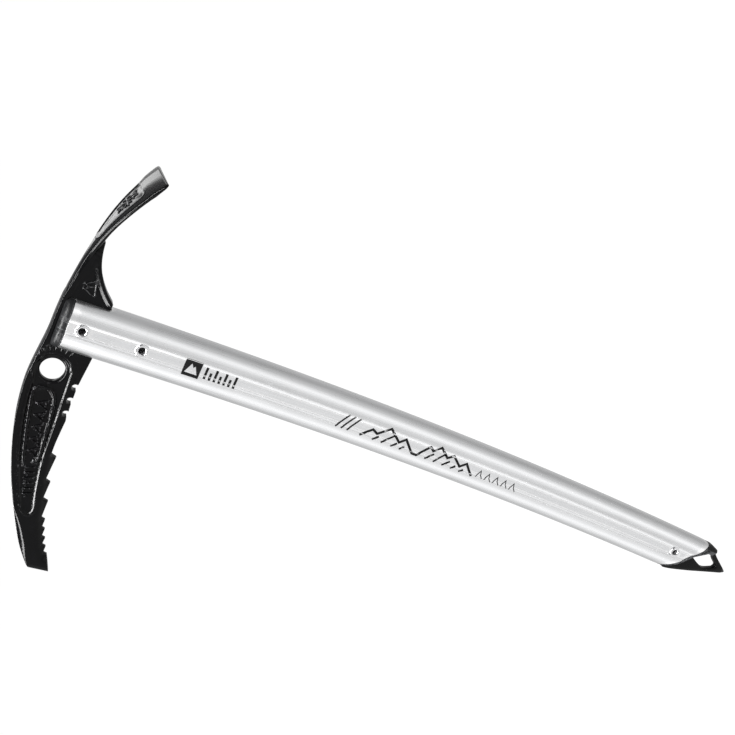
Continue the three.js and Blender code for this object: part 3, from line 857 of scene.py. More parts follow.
def build_adze():
    steps = np.linalg.norm(np.diff(ADZE_LINE, axis=0), axis=1)
    along = np.concatenate([[0], np.cumsum(steps)])
    length = along[-1]
    dense_end = length - np.array(TIP_STEPS)
    stations = np.concatenate([np.linspace(0, length - 1.6, 168), dense_end])
    line = np.column_stack([np.interp(stations, along, ADZE_LINE[:, k]) for k in (0, 1)])
    ahead = np.gradient(line, stations, axis=0)
    ahead /= np.linalg.norm(ahead, axis=1)[:, None]
    share = stations / length
    half = adze_half_width(share, length - stations)
    inset = np.array(EDGE_COLUMNS)
    unit = np.linspace(-1, 1, MIDDLE_COLUMNS)
    room = half - inset[-1] - COLUMN_GAP
    columns = np.concatenate([
        -half[:, None] + inset, room[:, None] * unit, half[:, None] - inset[::-1],
    ], axis=1)
    from_side = half[:, None] - np.abs(columns)
    side = columns / half[:, None]
    fall = np.clip((np.abs(side) - ADZE_FLAT) / (1 - ADZE_FLAT), 0, 1)
    crown = ADZE_CROWN * share[:, None] * fall**CROWN_POWER
    low_start = -1.0 * (1 - ease(stations, 0, 12))[:, None]
    tip = (length - stations)[:, None]
    rounding = round_off(np.minimum(from_side, tip), ADZE_ROUND)
    relief = adze_relief(stations[:, None] + 0 * columns, columns, half[:, None])
    top = low_start - crown - rounding + relief
    at_middle = np.interp(share, (0, 1), ADZE_MIDDLE)[:, None]
    at_side = np.interp(share, (0, 1), ADZE_SIDE)[:, None]
    thick = at_side + (at_middle - at_side) * (1 - side**2)
    lower_bevel = np.clip(LOWER_BEVEL_WIDTH - from_side, 0, LOWER_BEVEL_WIDTH) * LOWER_BEVEL_SLOPE
    lower_bevel = lower_bevel * ease(share, 0.1, 0.3)[:, None]
    sharpened = np.clip(1 - tip / SHARPENED_LENGTH, 0, 1) * SHARPENED_DEPTH
    lift = lower_bevel + sharpened + round_off(from_side, UNDERSIDE_ROUND)
    bottom = low_start - crown - thick + lift
    rings = []
    for k in range(len(stations)):
        across = np.concatenate([columns[k], columns[k][::-1]])
        height = np.concatenate([top[k], bottom[k][::-1]])
        rings.append(np.column_stack([
            line[k, 0] - ahead[k, 1] * height, across, line[k, 1] + ahead[k, 0] * height,
        ]))
    return skin("adze", rings)


carve(head, build_adze(), "UNION")
shade(head, 34)
print("head with adze:", len(head.data.polygons), "faces")

# %% [markdown]
# ## Packing round the tang
# Two moulded halves grip the tang inside the tube, and show above it as a dark, hollow shoulder that
# carries the eye from the tube's end up to the spine. The shoulder is a cove: a quarter turn swept
# round the oval. Each half is the whole shape with the plate's slot and the other side cut away.

# %% Packing
SHOULDER_LOW = TUBE_TOP + CLEARANCE
COVE_HEIGHT = 4.3
COVE_DEPTH = 4.9
COVE_SIDE_SHARE = 0.25  # the cove is shallower on the narrow sides
COVE_TURN = 84  # degrees of the quarter turn that are swept
COVE_START = (0.6, 0.08)  # height and inset where the turn begins, above a small rounded rim
PACKING_BOTTOM = 469


def build_packing(name, side):
    core = shaft_solid(name, TUBE_WALL + CLEARANCE, PACKING_BOTTOM, SHOULDER_LOW + 0.5, 10)
    ring = section(0, True)
    rings = []
    low, edge = COVE_START
    profile = [(0, 0.25), (0.15, edge), (low, edge)]
    for turn in np.radians(np.linspace(0, COVE_TURN, 12)):
        profile.append((low + COVE_HEIGHT * math.sin(turn), edge + COVE_DEPTH * (1 - math.cos(turn))))
    for rise, inset in profile:
        across = ring[:, 0] * (1 - COVE_SIDE_SHARE * inset / TUBE_HALF_WIDTH)
        thick = ring[:, 1] * (1 - inset / TUBE_HALF_THICKNESS)
        rings.append(on_shaft(across, thick, SHOULDER_LOW + rise))
    carve(core, skin("shoulder", rings), "UNION")
    inner = PLATE_HALF + CLEARANCE
    sides = (-30, -inner) if side < 0 else (inner, 30)
    carve(core, block(-30, 30, *sides, 400, 540), "INTERSECT")
    for z in (UPPER_RIVET_Z, LOWER_RIVET_Z):
        carve(core, cross_pin(float(shaft_x(z)), z, RIVET_HOLE), "DIFFERENCE")
    shade(core, 30)
    return core


packing_left = build_packing("packing_half_left", -1)
packing_right = build_packing("packing_half_right", 1)
print("packing halves:", len(packing_left.data.polygons), "faces each")

# %% [markdown]
# ## The spike and its window
# The spike is laser-cut plate, so it is another relief plate: a slim triangle with a window, all its
# edges eased. The window's edge is bevelled more deeply, which is where the light shows on it. Each
# pair below holds how far a bevel or taper reaches and how much it takes off one side.

# %% Spike
SPIKE_HALF = 2.5
WINDOW_BEVEL = (1.0, 0.6)
RIM_BEVEL = (1.1, 0.45)
POINT_TAPER = (5, 1.1)
SPIKE_ROUND = 0.4
TANG_TOP_Z = 81
SPIKE_LEFT = curve_through([[-41.4, 57], [-41, 50], [-38.6, 34], [-35.6, 18], [-32.4, 0.6]], 30)
WINDOW = curve_through([
    [-27.4, 35.2], [-31.2, 27.4], [-33, 21], [-31.2, 13.6], [-30, 11.8], [-28.2, 11.8], [-24.9, 16.2],
    [-22.2, 18.8], [-21.2, 21], [-20.4, 27.6], [-21.6, 29.8], [-27.4, 35.2],
], 66)[:-1]


def spike_outline():
    tang = float(shaft_x(80))
    right = [
        [-31.7, 0], [-31.0, 0.5], [-27.5, 6], [-23.6, 11.9], [-20.4, 16.4], [-18, 18.8], [-17, 24],
        [-17.4, 34], [-15.4, 50],
    ]
    top = [
        [tang + 11, TANG_TOP_Z - 3], [tang + 8, TANG_TOP_Z], [tang - 8, TANG_TOP_Z],
        [tang - 11, TANG_TOP_Z - 3], [-35.6, 66], [-38, 59.6],
    ]
    return np.vstack([right, top, SPIKE_LEFT])


def spike_half_thickness(points):
    from_edge = distance_to(points, walk(spike_outline(), 2), closed=True)
    from_window = distance_to(points, WINDOW, closed=True)
    half = np.full(len(points), float(SPIKE_HALF))
    for gap, (reach, depth) in ((from_window, WINDOW_BEVEL), (from_edge, RIM_BEVEL)):
        half -= depth * np.clip(1 - gap / reach, 0, 1)
    half -= POINT_TAPER[1] * (1 - ease(points[:, 1], 0, POINT_TAPER[0]))
    return half - round_off(np.minimum(from_edge, from_window), SPIKE_ROUND)


rivet_x = float(shaft_x(SPIKE_RIVET_Z))
spike = relief_plate(
    "spike_blade", spike_outline(), [WINDOW, ring_points(rivet_x, SPIKE_RIVET_Z, RIVET_HOLE, 40)],
    spike_half_thickness, 1.2, (), 30)
print("spike:", len(spike.data.polygons), "faces")

# %% [markdown]
# ## The plug round the spike
# A moulded plug fills the tube's foot. What shows is a thin lip that follows the wavy cut and a short
# nose that hugs the spike's leg. The lip and the core come from the shaft's own section, cut along the
# wave, so they line up with the tube all the way round.

# %% Plug
LIP_THICKNESS = 1.4
PLUG_TOP = 84
DROP_X, DROP_Z = 0.62, 0.78  # direction in which the lip stands off the cut
NOSE = [
    [-8, 33], [-10.9, 29.6], [-13.2, 25], [-14.8, 21.8], [-16.2, 22.2], [-19.4, 25.8], [-19.2, 29.6],
    [-24, 39], [-14, 44],
]
NOSE_HALF = 7.6
LIP_INSET = 0.12
LIP_STRETCH = (6, 96)  # heights of the solid that the lip and the nose are cut from
CUTTER_HALF = 30
CUTTER_LEFT, CUTTER_RIGHT, CUTTER_LOW, CUTTER_HIGH = -70, 20, -20, 140


def beyond_cut(drop, end):
    """The outline of all that lies beyond the wavy cut, which is moved down by a drop, as far as end."""
    moved = FOOT_CUT - [drop * DROP_X, drop * DROP_Z]
    left, right = FOOT_CUT[-1, 1] - drop, FOOT_CUT[0, 1] - drop
    corners = [[CUTTER_LEFT, left], [CUTTER_LEFT, end], [CUTTER_RIGHT, end], [CUTTER_RIGHT, right]]
    return np.vstack([moved, corners])


def build_plug():
    core = shaft_solid("spike_plug_moulding", TUBE_WALL + CLEARANCE, 20, PLUG_TOP, 16)
    under_tube = beyond_cut(CLEARANCE, CUTTER_LOW)
    above_lip = beyond_cut(CLEARANCE + LIP_THICKNESS, CUTTER_HIGH)[::-1]
    lip, nose = (shaft_solid(name, LIP_INSET, *LIP_STRETCH, 20) for name in ("lip", "nose"))
    for part in (lip, nose):
        carve(part, slab("cutter", under_tube, CUTTER_HALF), "INTERSECT")
    carve(nose, slab("cutter", NOSE, NOSE_HALF), "INTERSECT")
    carve(core, lip, "UNION")
    carve(core, slab("cutter", above_lip, CUTTER_HALF), "INTERSECT")
    carve(core, nose, "UNION")
    slot_half = SPIKE_HALF + CLEARANCE
    outline = beside(walk(spike_outline(), 2), -CLEARANCE)
    carve(core, slab("cutter", outline, slot_half), "DIFFERENCE")
    carve(core, slab("cutter", WINDOW, slot_half), "DIFFERENCE")
    carve(core, cross_pin(rivet_x, SPIKE_RIVET_Z, RIVET_HOLE), "DIFFERENCE")
    shade(core, 30)
    return core


plug = build_plug()
print("plug:", len(plug.data.polygons), "faces")

# %% [markdown]
# ## Tubular rivets
# Each rivet is a short tube, rolled over at both ends. Turned from a profile, its rolled lip is a half
# circle, which gives the bright ring and the deep bore that a flat disc never would. The bore's wall
# also gets a dark grey material further down: painted shade.

# %% Rivets
BORE = 2.05
BARREL = 2.55
FLARE = 4.05
LIP_HEIGHT = 0.85
LIP_GAP = 0.14  # the rolled lip stands this far off the tube, so a thin shadow rings it


def rivet_profile():
    """Bore, rolled lip, and barrel, as (radius, y) going round one side."""
    seat = FLUTE_FLOOR + LIP_GAP
    turn = np.linspace(0, math.pi, 15)
    middle, half = (BORE + FLARE) / 2, (FLARE - BORE) / 2
    near_lip = [(middle - half * math.cos(a), -seat - LIP_HEIGHT * math.sin(a) ** 0.8) for a in turn]
    far_lip = [(r, -y) for r, y in near_lip[::-1]]
    inner = [(BORE, y) for y in np.linspace(seat * 0.8, -seat * 0.8, 5)]
    return [*near_lip, (BARREL + 0.1, -seat), (BARREL, -seat + 0.1), (BARREL, seat - 0.1),
            (BARREL + 0.1, seat), *far_lip, *inner]


rivets = {}
for node, z in (("head_rivet_upper", UPPER_RIVET_Z), ("head_rivet_lower", LOWER_RIVET_Z),
                ("spike_rivet", SPIKE_RIVET_Z)):
    rivets[node] = spin(f"{node}_turned", rivet_profile(), float(shaft_x(z)), z)
print("rivets:", sorted(rivets))

# %% [markdown]
# ## Printing on the tube
# The real shaft is printed with words and a badge. This one carries plain shapes of the same weight:
# a square with a peak cut out of it, a row of ruler bars, three slanted strokes and a zigzag ridge
# line. Each is drawn flat, as (across, up) on the tube, filled with triangles, and wrapped onto the
# surface as a film of ink a few hundredths of a millimetre thick.

# %% Ink film
INK_LIFT = 0.06
INK_STEP = 0.8
INK_MARGIN = 0.25  # inner mesh points keep this far from an outline


def thick_line(points, width):
    """The outline of a line of a given width, with square ends and mitred corners."""
    points = np.asarray(points, float)
    ahead = np.diff(points, axis=0)
    ahead /= np.linalg.norm(ahead, axis=1)[:, None]
    side = np.column_stack([-ahead[:, 1], ahead[:, 0]])
    first, last = np.vstack([side[:1], side]), np.vstack([side, side[-1:]])
    middle = first + last
    middle /= np.linalg.norm(middle, axis=1)[:, None]
    reach = width / 2 / np.maximum(np.sum(middle * first, axis=1), 0.45)
    return np.vstack([points + middle * reach[:, None], (points - middle * reach[:, None])[::-1]])


def rectangle(u0, u1, z0, z1):
    return np.array([[u0, z0], [u1, z0], [u1, z1], [u0, z1]], float)


def ink_film(outline, holes=()):
    """Vertices and faces of one thin closed shape, wrapped on the tube's near side."""
    loops = [walk(loop, INK_STEP) for loop in [outline, *holes]]
    low, high = loops[0].min(0), loops[0].max(0)
    grid = np.stack(np.meshgrid(np.arange(low[0], high[0], INK_STEP),
                                np.arange(low[1], high[1], INK_STEP)), -1).reshape(-1, 2)
    clear = inside(grid, loops[0]) & (distance_to(grid, loops[0], closed=True) > INK_MARGIN)
    for hole in loops[1:]:
        clear &= ~inside(grid, hole) & (distance_to(grid, hole, closed=True) > INK_MARGIN)
    points = np.vstack([*loops, grid[clear]])
    edges, start = [], 0
    for loop in loops:
        edges += [(start + i, start + (i + 1) % len(loop)) for i in range(len(loop))]
        start += len(loop)
    flat, _, faces, *_ = delaunay_2d_cdt([Vector(p) for p in points], edges, [], 0, 1e-4)
    flat = np.array([tuple(v) for v in flat])
    faces = np.array(faces)
    kept = inside(flat[faces].mean(1), loops[0])
    for hole in loops[1:]:
        kept &= ~inside(flat[faces].mean(1), hole)
    faces = faces[kept]
    u, z = flat.T
    top = on_shaft(u, -fluted_y(u) - INK_LIFT, z)
    under = on_shaft(u, -fluted_y(u) + INK_LIFT, z)
    known = {(int(a), int(b)) for f in faces for a, b in zip(f, np.roll(f, -1))}
    count = len(flat)
    rim = [(b, a, a + count, b + count) for a, b in known if (b, a) not in known]
    return np.vstack([top, under]), [*faces, *(faces[:, ::-1] + count), *rim]


def printed_piece(name, shapes):
    """One ink piece from several closed shapes, each an outline and its holes."""
    vertices, faces = [], []
    for outline, *holes in shapes:
        film, film_faces = ink_film(outline, holes)
        faces += [[i + sum(len(v) for v in vertices) for i in f] for f in film_faces]
        vertices.append(film)
    return make_piece(name, np.vstack(vertices), faces)


print("ink film:", 2 * INK_LIFT, "mm thick")

# %% [markdown]
# The badge and its ruler bars are one piece, the slanted strokes and the mountain skyline another. On
# the tube, `across` points to the adze side, so a shape that should stand upright for a reader, with
# the head to the left, has its height across and its length along z.

# %% Printed shapes
BADGE_CENTRE = (-0.5, 446.4)
BADGE_HALF = 5.15
BADGE_PEAK = np.array([[-3.2, 3.8], [2.8, 1.0], [0.4, -0.5], [1.6, -1.5], [-3.2, -3.8]])
badge_shapes = [[
    np.array(BADGE_CENTRE) + rectangle(-BADGE_HALF, BADGE_HALF, -BADGE_HALF, BADGE_HALF),
    np.array(BADGE_CENTRE) + BADGE_PEAK,
]]
BAR_COUNT = 7
BAR_FOOT = -4.3
BAR_TOPS = (2.9, 0.2)  # tall and short bars take turns, as on a ruler
BAR_WIDTH = 1.5
BAR_STEP = 3.05
FIRST_BAR_Z = 438.6
for k in range(BAR_COUNT):
    z_high = FIRST_BAR_Z - BAR_STEP * k
    badge_shapes.append([rectangle(BAR_FOOT, BAR_TOPS[k % 2], z_high - BAR_WIDTH, z_high)])
printed_badge = printed_piece("printed_badge", badge_shapes)

SLASH_FEET = (350.0, 346.0, 341.9)
SLASH_WIDTH, SKYLINE_WIDTH, SHADING_WIDTH, HILL_WIDTH = 1.1, 1.6, 1.3, 0.65
ridge_shapes = []
for z in SLASH_FEET:
    ridge_shapes.append([thick_line([[-5.4, z], [4.6, z - 6.1]], SLASH_WIDTH)])
SKYLINE = [
    [-5.5, 332.6], [0.7, 325.5], [-1.1, 321.7], [5.3, 314.2], [-1.5, 305.2], [2.0, 301.4], [-5.3, 293.6],
    [-5.3, 290.2], [3.2, 283.2], [1.1, 280.2], [5.4, 275.8], [0.1, 268.6], [3.0, 264.8], [-2.3, 257.6],
    [1.2, 253.6], [-5.5, 246.6],
]
ridge_shapes.append([thick_line(SKYLINE, SKYLINE_WIDTH)])
# slanted shading under the skyline: height at the foot, and (across, height) at the upper end
SHADING = [
    (323.5, -2.4, 319.7), (317.0, 1.6, 309.9), (309.8, -2.5, 306.0), (303.4, -2.7, 300.4),
    (283.8, -0.6, 278.6), (277.2, 2.2, 270.8), (270.4, -1.5, 265.6), (263.6, -3.0, 260.4),
    (257.0, -3.5, 254.0),
]
for foot, u, z in SHADING:
    ridge_shapes.append([thick_line([[SKYLINE[0][0], foot], [u, z]], SHADING_WIDTH)])
HILLS, HILLS_FROM, HILL_STEP = 5, 243.5, 6.9
for k in range(HILLS):
    z = HILLS_FROM - HILL_STEP * k
    hill = [[-4.8, z], [0.2, z - 2.3], [-2.9, z - 3.6], [-4.8, z - 5.2]]
    ridge_shapes.append([thick_line(hill, HILL_WIDTH)])
printed_ridge = printed_piece("printed_ridge_line", ridge_shapes)
print("printed shapes:", len(badge_shapes) + len(ridge_shapes))

# %% [markdown]
# ## Where the edges are
# Paint and oxide wear off edges first. Blender can find edges with the Pointiness output, but that
# depends on how fine the mesh is. Here the sharpness of each vertex is measured once from the angles
# of the faces round it, and stored as an attribute called `edge`, which a node group can read.

# %% Edge attribute


def mark_edges(piece, full_degrees=38, passes=1):
    """Stores 0 on flat or hollow spots and up to 1 on outward edges."""
    work = bmesh.new()
    work.from_mesh(piece.data)
    values = np.zeros(len(work.verts))
    pairs = np.array([[v.index for v in e.verts] for e in work.edges])
    turn = np.array([math.degrees(e.calc_face_angle_signed(0)) for e in work.edges])
    work.free()
    for column in (0, 1):
        np.maximum.at(values, pairs[:, column], np.clip(turn / full_degrees, 0, 1))
    for _ in range(passes):
        spread = np.zeros_like(values)
        share = np.zeros_like(values)
        for a, b in ((0, 1), (1, 0)):
            np.add.at(spread, pairs[:, a], values[pairs[:, b]])
            np.add.at(share, pairs[:, a], 1)
        values = 0.6 * values + 0.4 * spread / np.maximum(share, 1)
    attribute = piece.data.attributes.new("edge", "FLOAT", "POINT")
    attribute.data.foreach_set("value", values.astype(np.float32))


solid_pieces = (head, tube, packing_left, packing_right, spike, plug, *rivets.values())
for piece in solid_pieces:
    mark_edges(piece)
print("pieces with an edge attribute:", len(solid_pieces))

# %% [markdown]
# ## Shader groups that several finishes share
# Four effects appear on more than one material: worn edges, a fine surface grain, drawing lines that
# run along the metal, and handling scratches. Each is a node group with its own inputs, so a material
# only says how strong and how large the effect is. A group puts out masks and values, never a shader.

# %% Node helpers


def new_group(name, inputs, outputs):
    """An empty node group with float sockets; gives back the group and its two end nodes."""
    group = bpy.data.node_groups.new(name, "ShaderNodeTree")
    for label, value in inputs:
        socket = group.interface.new_socket(name=label, in_out="INPUT", socket_type="NodeSocketFloat")
        socket.default_value = value
    for label in outputs:
        group.interface.new_socket(name=label, in_out="OUTPUT", socket_type="NodeSocketFloat")
    return group, group.nodes.new("NodeGroupInput"), group.nodes.new("NodeGroupOutput")


def add(tree, kind, settings=None, **links):
    """A node of a kind; settings are its properties, links fill sockets with values or other sockets."""
    node = tree.nodes.new(kind)
    for key, value in (settings or {}).items():
        setattr(node, key, value)
    for key, value in links.items():
        socket = node.inputs[int(key[1:])] if key[0] == "i" and key[1:].isdigit() else node.inputs[key]
        if isinstance(value, bpy.types.NodeSocket):
            tree.links.new(value, socket)
        else:
            socket.default_value = value
    return node


def math_node(tree, operation, a, b=0.0, clamp=False):
    return add(tree, "ShaderNodeMath", {"operation": operation, "use_clamp": clamp}, i0=a, i1=b).outputs[0]


def smooth_range(tree, value, low, high, to_low=0.0, to_high=1.0):
    node = add(tree, "ShaderNodeMapRange", {"interpolation_type": "SMOOTHSTEP"}, Value=value)
    for label, number in (("From Min", low), ("From Max", high), ("To Min", to_low), ("To Max", to_high)):
        socket = node.inputs[label]
        if isinstance(number, bpy.types.NodeSocket):
            tree.links.new(number, socket)
        else:
            socket.default_value = number
    return node.outputs["Result"]


print("node groups before the first effect:", len(bpy.data.node_groups))

# %% [markdown]
# **Edge wear** reads the `edge` attribute and breaks it up with noise, so that wear is patchy. Only
# spots above a threshold wear through, and the amount moves that threshold.

# %% Edge wear group


def build_edge_wear():
    group, start, end = new_group("edge wear", [("Amount", 0.5), ("Patch Scale", 300.0)], ["Mask"])
    edge = add(group, "ShaderNodeAttribute", {"attribute_name": "edge"}).outputs["Fac"]
    place = add(group, "ShaderNodeTexCoord").outputs["Object"]
    patches = add(group, "ShaderNodeTexNoise", Vector=place, Scale=start.outputs["Patch Scale"],
                  Detail=5.0, Roughness=0.65)
    broken = math_node(group, "ADD", edge, math_node(group, "SUBTRACT", patches.outputs["Fac"], 0.5))
    low = math_node(group, "SUBTRACT", 1.0, start.outputs["Amount"])
    high = math_node(group, "ADD", low, 0.35)
    group.links.new(smooth_range(group, broken, low, high), end.inputs["Mask"])
    return group


EDGE_WEAR = build_edge_wear()
print("the group's sockets:", [socket.name for socket in EDGE_WEAR.interface.items_tree])

# %% [markdown]
# **Grain** is two octaves of noise for the skin of a forging or a moulding: a value for small colour
# and gloss changes, and a height for a bump. **Drawing lines** are noise squeezed along z, since the
# tube was pulled through its die in that direction. **Scratches** are thin bands picked out of long
# stretched noise at two angles.

# %% Grain, drawing lines and scratches


def build_grain():
    group, start, end = new_group("surface grain", [("Scale", 900.0), ("Mottle Scale", 60.0)],
                                  ["Mottle", "Height"])
    place = add(group, "ShaderNodeTexCoord").outputs["Object"]
    fine = add(group, "ShaderNodeTexNoise", Vector=place, Scale=start.outputs["Scale"],
               Detail=3.0, Roughness=0.6)
    broad = add(group, "ShaderNodeTexNoise", Vector=place, Scale=start.outputs["Mottle Scale"],
                Detail=4.0, Roughness=0.55, Distortion=0.6)
    group.links.new(broad.outputs["Fac"], end.inputs["Mottle"])
    group.links.new(fine.outputs["Fac"], end.inputs["Height"])
    return group


def build_drawing_lines():
    group, start, end = new_group("drawing lines", [("Scale", 1500.0), ("Stretch", 0.012)],
                                  ["Lines", "Height"])
    place = add(group, "ShaderNodeTexCoord").outputs["Object"]
    parts = add(group, "ShaderNodeSeparateXYZ", Vector=place)
    squeezed = math_node(group, "MULTIPLY", parts.outputs["Z"], start.outputs["Stretch"])
    along = add(group, "ShaderNodeCombineXYZ", X=parts.outputs["X"], Y=parts.outputs["Y"], Z=squeezed)
    lines = add(group, "ShaderNodeTexNoise", Vector=along.outputs[0], Scale=start.outputs["Scale"],
                Detail=4.0, Roughness=0.7)
    wide = add(group, "ShaderNodeTexNoise", Vector=along.outputs[0],
               Scale=math_node(group, "MULTIPLY", start.outputs["Scale"], 0.16), Detail=2.0)
    both = math_node(group, "MULTIPLY", lines.outputs["Fac"],
                     math_node(group, "ADD", wide.outputs["Fac"], 0.5))
    group.links.new(both, end.inputs["Lines"])
    group.links.new(lines.outputs["Fac"], end.inputs["Height"])
    return group


def build_scratches():
    group, start, end = new_group("handling scratches", [("Amount", 0.3), ("Scale", 220.0)], ["Mask"])
    place = add(group, "ShaderNodeTexCoord").outputs["Object"]
    masks = []
    for turn in ((0.3, 0.5, 0.2), (1.3, 0.4, 1.1)):
        turned = add(group, "ShaderNodeMapping", Vector=place, Rotation=turn, Scale=(1.0, 1.0, 0.06))
        noise = add(group, "ShaderNodeTexNoise", Vector=turned.outputs[0],
                    Scale=start.outputs["Scale"], Detail=1.0)
        line = math_node(group, "ABSOLUTE", math_node(group, "SUBTRACT", noise.outputs["Fac"], 0.5))
        masks.append(smooth_range(group, line, 0.0, 0.006, 1.0, 0.0))
    patch = add(group, "ShaderNodeTexNoise", Vector=place, Scale=40.0, Detail=2.0)
    here = smooth_range(group, patch.outputs["Fac"], 0.5, 0.68)
    found = math_node(group, "MULTIPLY", math_node(group, "MAXIMUM", *masks), here)
    group.links.new(math_node(group, "MULTIPLY", found, start.outputs["Amount"]), end.inputs["Mask"])
    return group


GRAIN = build_grain()
DRAWING_LINES = build_drawing_lines()
SCRATCHES = build_scratches()
print("node groups:", [g.name for g in bpy.data.node_groups])

# %% [markdown]
# ## Materials
# Each finish has its own small tree. The Principled shader's constant numbers are set on its own
# sockets; only colour, roughness, metalness and the normal are driven. A helper places a group with
# its values, another mixes two colours by a mask.

# %% Material helpers


def new_material(name, **constants):
    material = bpy.data.materials.new(name)
    material.use_nodes = True
    shader = material.node_tree.nodes["Principled BSDF"]
    for label, value in constants.items():
        shader.inputs[label.replace("_", " ")].default_value = value
    return material, material.node_tree, shader


def use_group(tree, group, **values):
    node = tree.nodes.new("ShaderNodeGroup")
    node.node_tree = group
    for label, value in values.items():
        node.inputs[label.replace("_", " ")].default_value = value
    return node.outputs


def mix_colours(tree, mask, low, high):
    """One colour where the mask is 0, another where it is 1; each may be a colour or a socket."""
    node = add(tree, "ShaderNodeMix", {"data_type": "RGBA"})
    tree.links.new(mask, node.inputs["Factor"])
    for socket, value in ((node.inputs[6], low), (node.inputs[7], high)):
        if isinstance(value, bpy.types.NodeSocket):
            tree.links.new(value, socket)
        else:
            socket.default_value = (*value, 1)
    return node.outputs[2]


def bump(tree, shader, height, distance):
    """Lets a height between 0 and 1 tilt the surface, as if it stood that many metres high."""
    node = add(tree, "ShaderNodeBump", Strength=1.0, Distance=distance, Height=height)
    tree.links.new(node.outputs["Normal"], shader.inputs["Normal"])


def weighted(tree, *terms):
    """The sum of some sockets, each times its weight."""
    total = math_node(tree, "MULTIPLY", terms[0][0], terms[0][1])
    for socket, weight in terms[1:]:
        total = math_node(tree, "ADD", total, math_node(tree, "MULTIPLY", socket, weight))
    return total


print("materials before the first finish:", len(bpy.data.materials))

# %% [markdown]
# **Black forging.** The head is hot-forged, shot-blasted and coated in gloss black. The skin keeps a
# faint orange-peel, and the coat thins on the edges of teeth and rims, where the steel shows as a
# dull grey. The plate steel of the spike has the same coat with a finer, duller skin, so the same
# function makes both. The specular level is low, so that faces seen square on stay black and only
# those that the light grazes turn grey.

# %% Black coats


COAT_WEIGHT = 0.06


def black_coat(name, roughness, grain_scale, grain_height, wear):
    material, tree, shader = new_material(name, Specular_IOR_Level=0.1, Coat_Roughness=0.16)
    grain = use_group(tree, GRAIN, Scale=grain_scale, Mottle_Scale=70.0)
    worn = use_group(tree, EDGE_WEAR, Amount=wear, Patch_Scale=420.0)["Mask"]
    scratch = use_group(tree, SCRATCHES, Amount=0.35, Scale=260.0)["Mask"]
    base = mix_colours(tree, grain["Mottle"], (0.0006, 0.0006, 0.0007), (0.0018, 0.0018, 0.002))
    scuffed = mix_colours(tree, scratch, base, (0.006, 0.006, 0.0065))
    tree.links.new(mix_colours(tree, worn, scuffed, (0.05, 0.05, 0.052)), shader.inputs["Base Color"])
    gloss = weighted(tree, (grain["Mottle"], 0.12), (scratch, 0.2), (worn, 0.12))
    tree.links.new(math_node(tree, "ADD", gloss, roughness), shader.inputs["Roughness"])
    tree.links.new(math_node(tree, "MULTIPLY", worn, 0.6), shader.inputs["Metallic"])
    coat = math_node(tree, "SUBTRACT", COAT_WEIGHT, math_node(tree, "MULTIPLY", worn, COAT_WEIGHT))
    tree.links.new(coat, shader.inputs["Coat Weight"])
    bump(tree, shader, weighted(tree, (grain["Height"], 1.0), (grain["Mottle"], 1.6)), grain_height)
    return material


FORGING_BLACK = black_coat(
    "gloss black forging", roughness=0.1, grain_scale=800.0, grain_height=0.000018, wear=0.32)
SPIKE_BLACK = black_coat(
    "satin black spike", roughness=0.2, grain_scale=1300.0, grain_height=0.00005, wear=0.38)
print("black coats:", FORGING_BLACK.name, "and", SPIKE_BLACK.name)

# %% [markdown]
# **Satin aluminium.** The tube is drawn, brushed along its length and clear-anodised: almost white
# metal whose gloss changes from line to line. The rims of the cut foot and the slots were filed after
# anodising, so they are a little brighter and smoother.

# %% Satin aluminium


def satin_aluminium():
    material, tree, shader = new_material("satin aluminium", Metallic=1.0)
    lines = use_group(tree, DRAWING_LINES, Scale=1500.0, Stretch=0.012)
    grain = use_group(tree, GRAIN, Scale=2600.0, Mottle_Scale=38.0)
    scratch = use_group(tree, SCRATCHES, Amount=0.5, Scale=160.0)["Mask"]
    filed = use_group(tree, EDGE_WEAR, Amount=0.75, Patch_Scale=500.0)["Mask"]
    tone = weighted(tree, (lines["Lines"], 0.8), (grain["Mottle"], 0.35))
    base = mix_colours(tree, tone, (0.70, 0.705, 0.715), (0.86, 0.865, 0.875))
    tree.links.new(mix_colours(tree, filed, base, (0.95, 0.95, 0.955)), shader.inputs["Base Color"])
    gloss = weighted(tree, (lines["Lines"], 0.14), (grain["Mottle"], 0.06), (scratch, 0.12), (filed, -0.08))
    tree.links.new(math_node(tree, "ADD", gloss, 0.18), shader.inputs["Roughness"])
    bump(tree, shader, weighted(tree, (lines["Height"], 1.0), (grain["Height"], 0.35)), 0.000018)
    return material


TUBE_METAL = satin_aluminium()
print("tube finish:", TUBE_METAL.name)

# %% [markdown]
# ** Grey moulding, rivet steel and ink.** The packing and plug are filled nylon: matt, finely pebbled
# and slightly mottled. The rivets are bright steel with fine scratches. The faces of the bore's wall
# get a second, dark grey material: painted shade, standing for the little light that comes into the bore.
# The ink is a flat black with a trace of the brushed metal in it.

# %% Moulding, rivet steel, ink


def grey_moulding():
    material, tree, shader = new_material("grey moulding", Specular_IOR_Level=0.14)
    grain = use_group(tree, GRAIN, Scale=1500.0, Mottle_Scale=180.0)
    rubbed = use_group(tree, EDGE_WEAR, Amount=0.5, Patch_Scale=350.0)["Mask"]
    base = mix_colours(tree, grain["Mottle"], (0.003, 0.0031, 0.0033), (0.012, 0.0123, 0.0129))
    tree.links.new(mix_colours(tree, rubbed, base, (0.05, 0.051, 0.053)), shader.inputs["Base Color"])
    gloss = weighted(tree, (grain["Mottle"], 0.35), (grain["Height"], 0.3))
    tree.links.new(gloss, shader.inputs["Roughness"])
    bump(tree, shader, weighted(tree, (grain["Height"], 1.0), (grain["Mottle"], 1.2)), 0.00012)
    return material


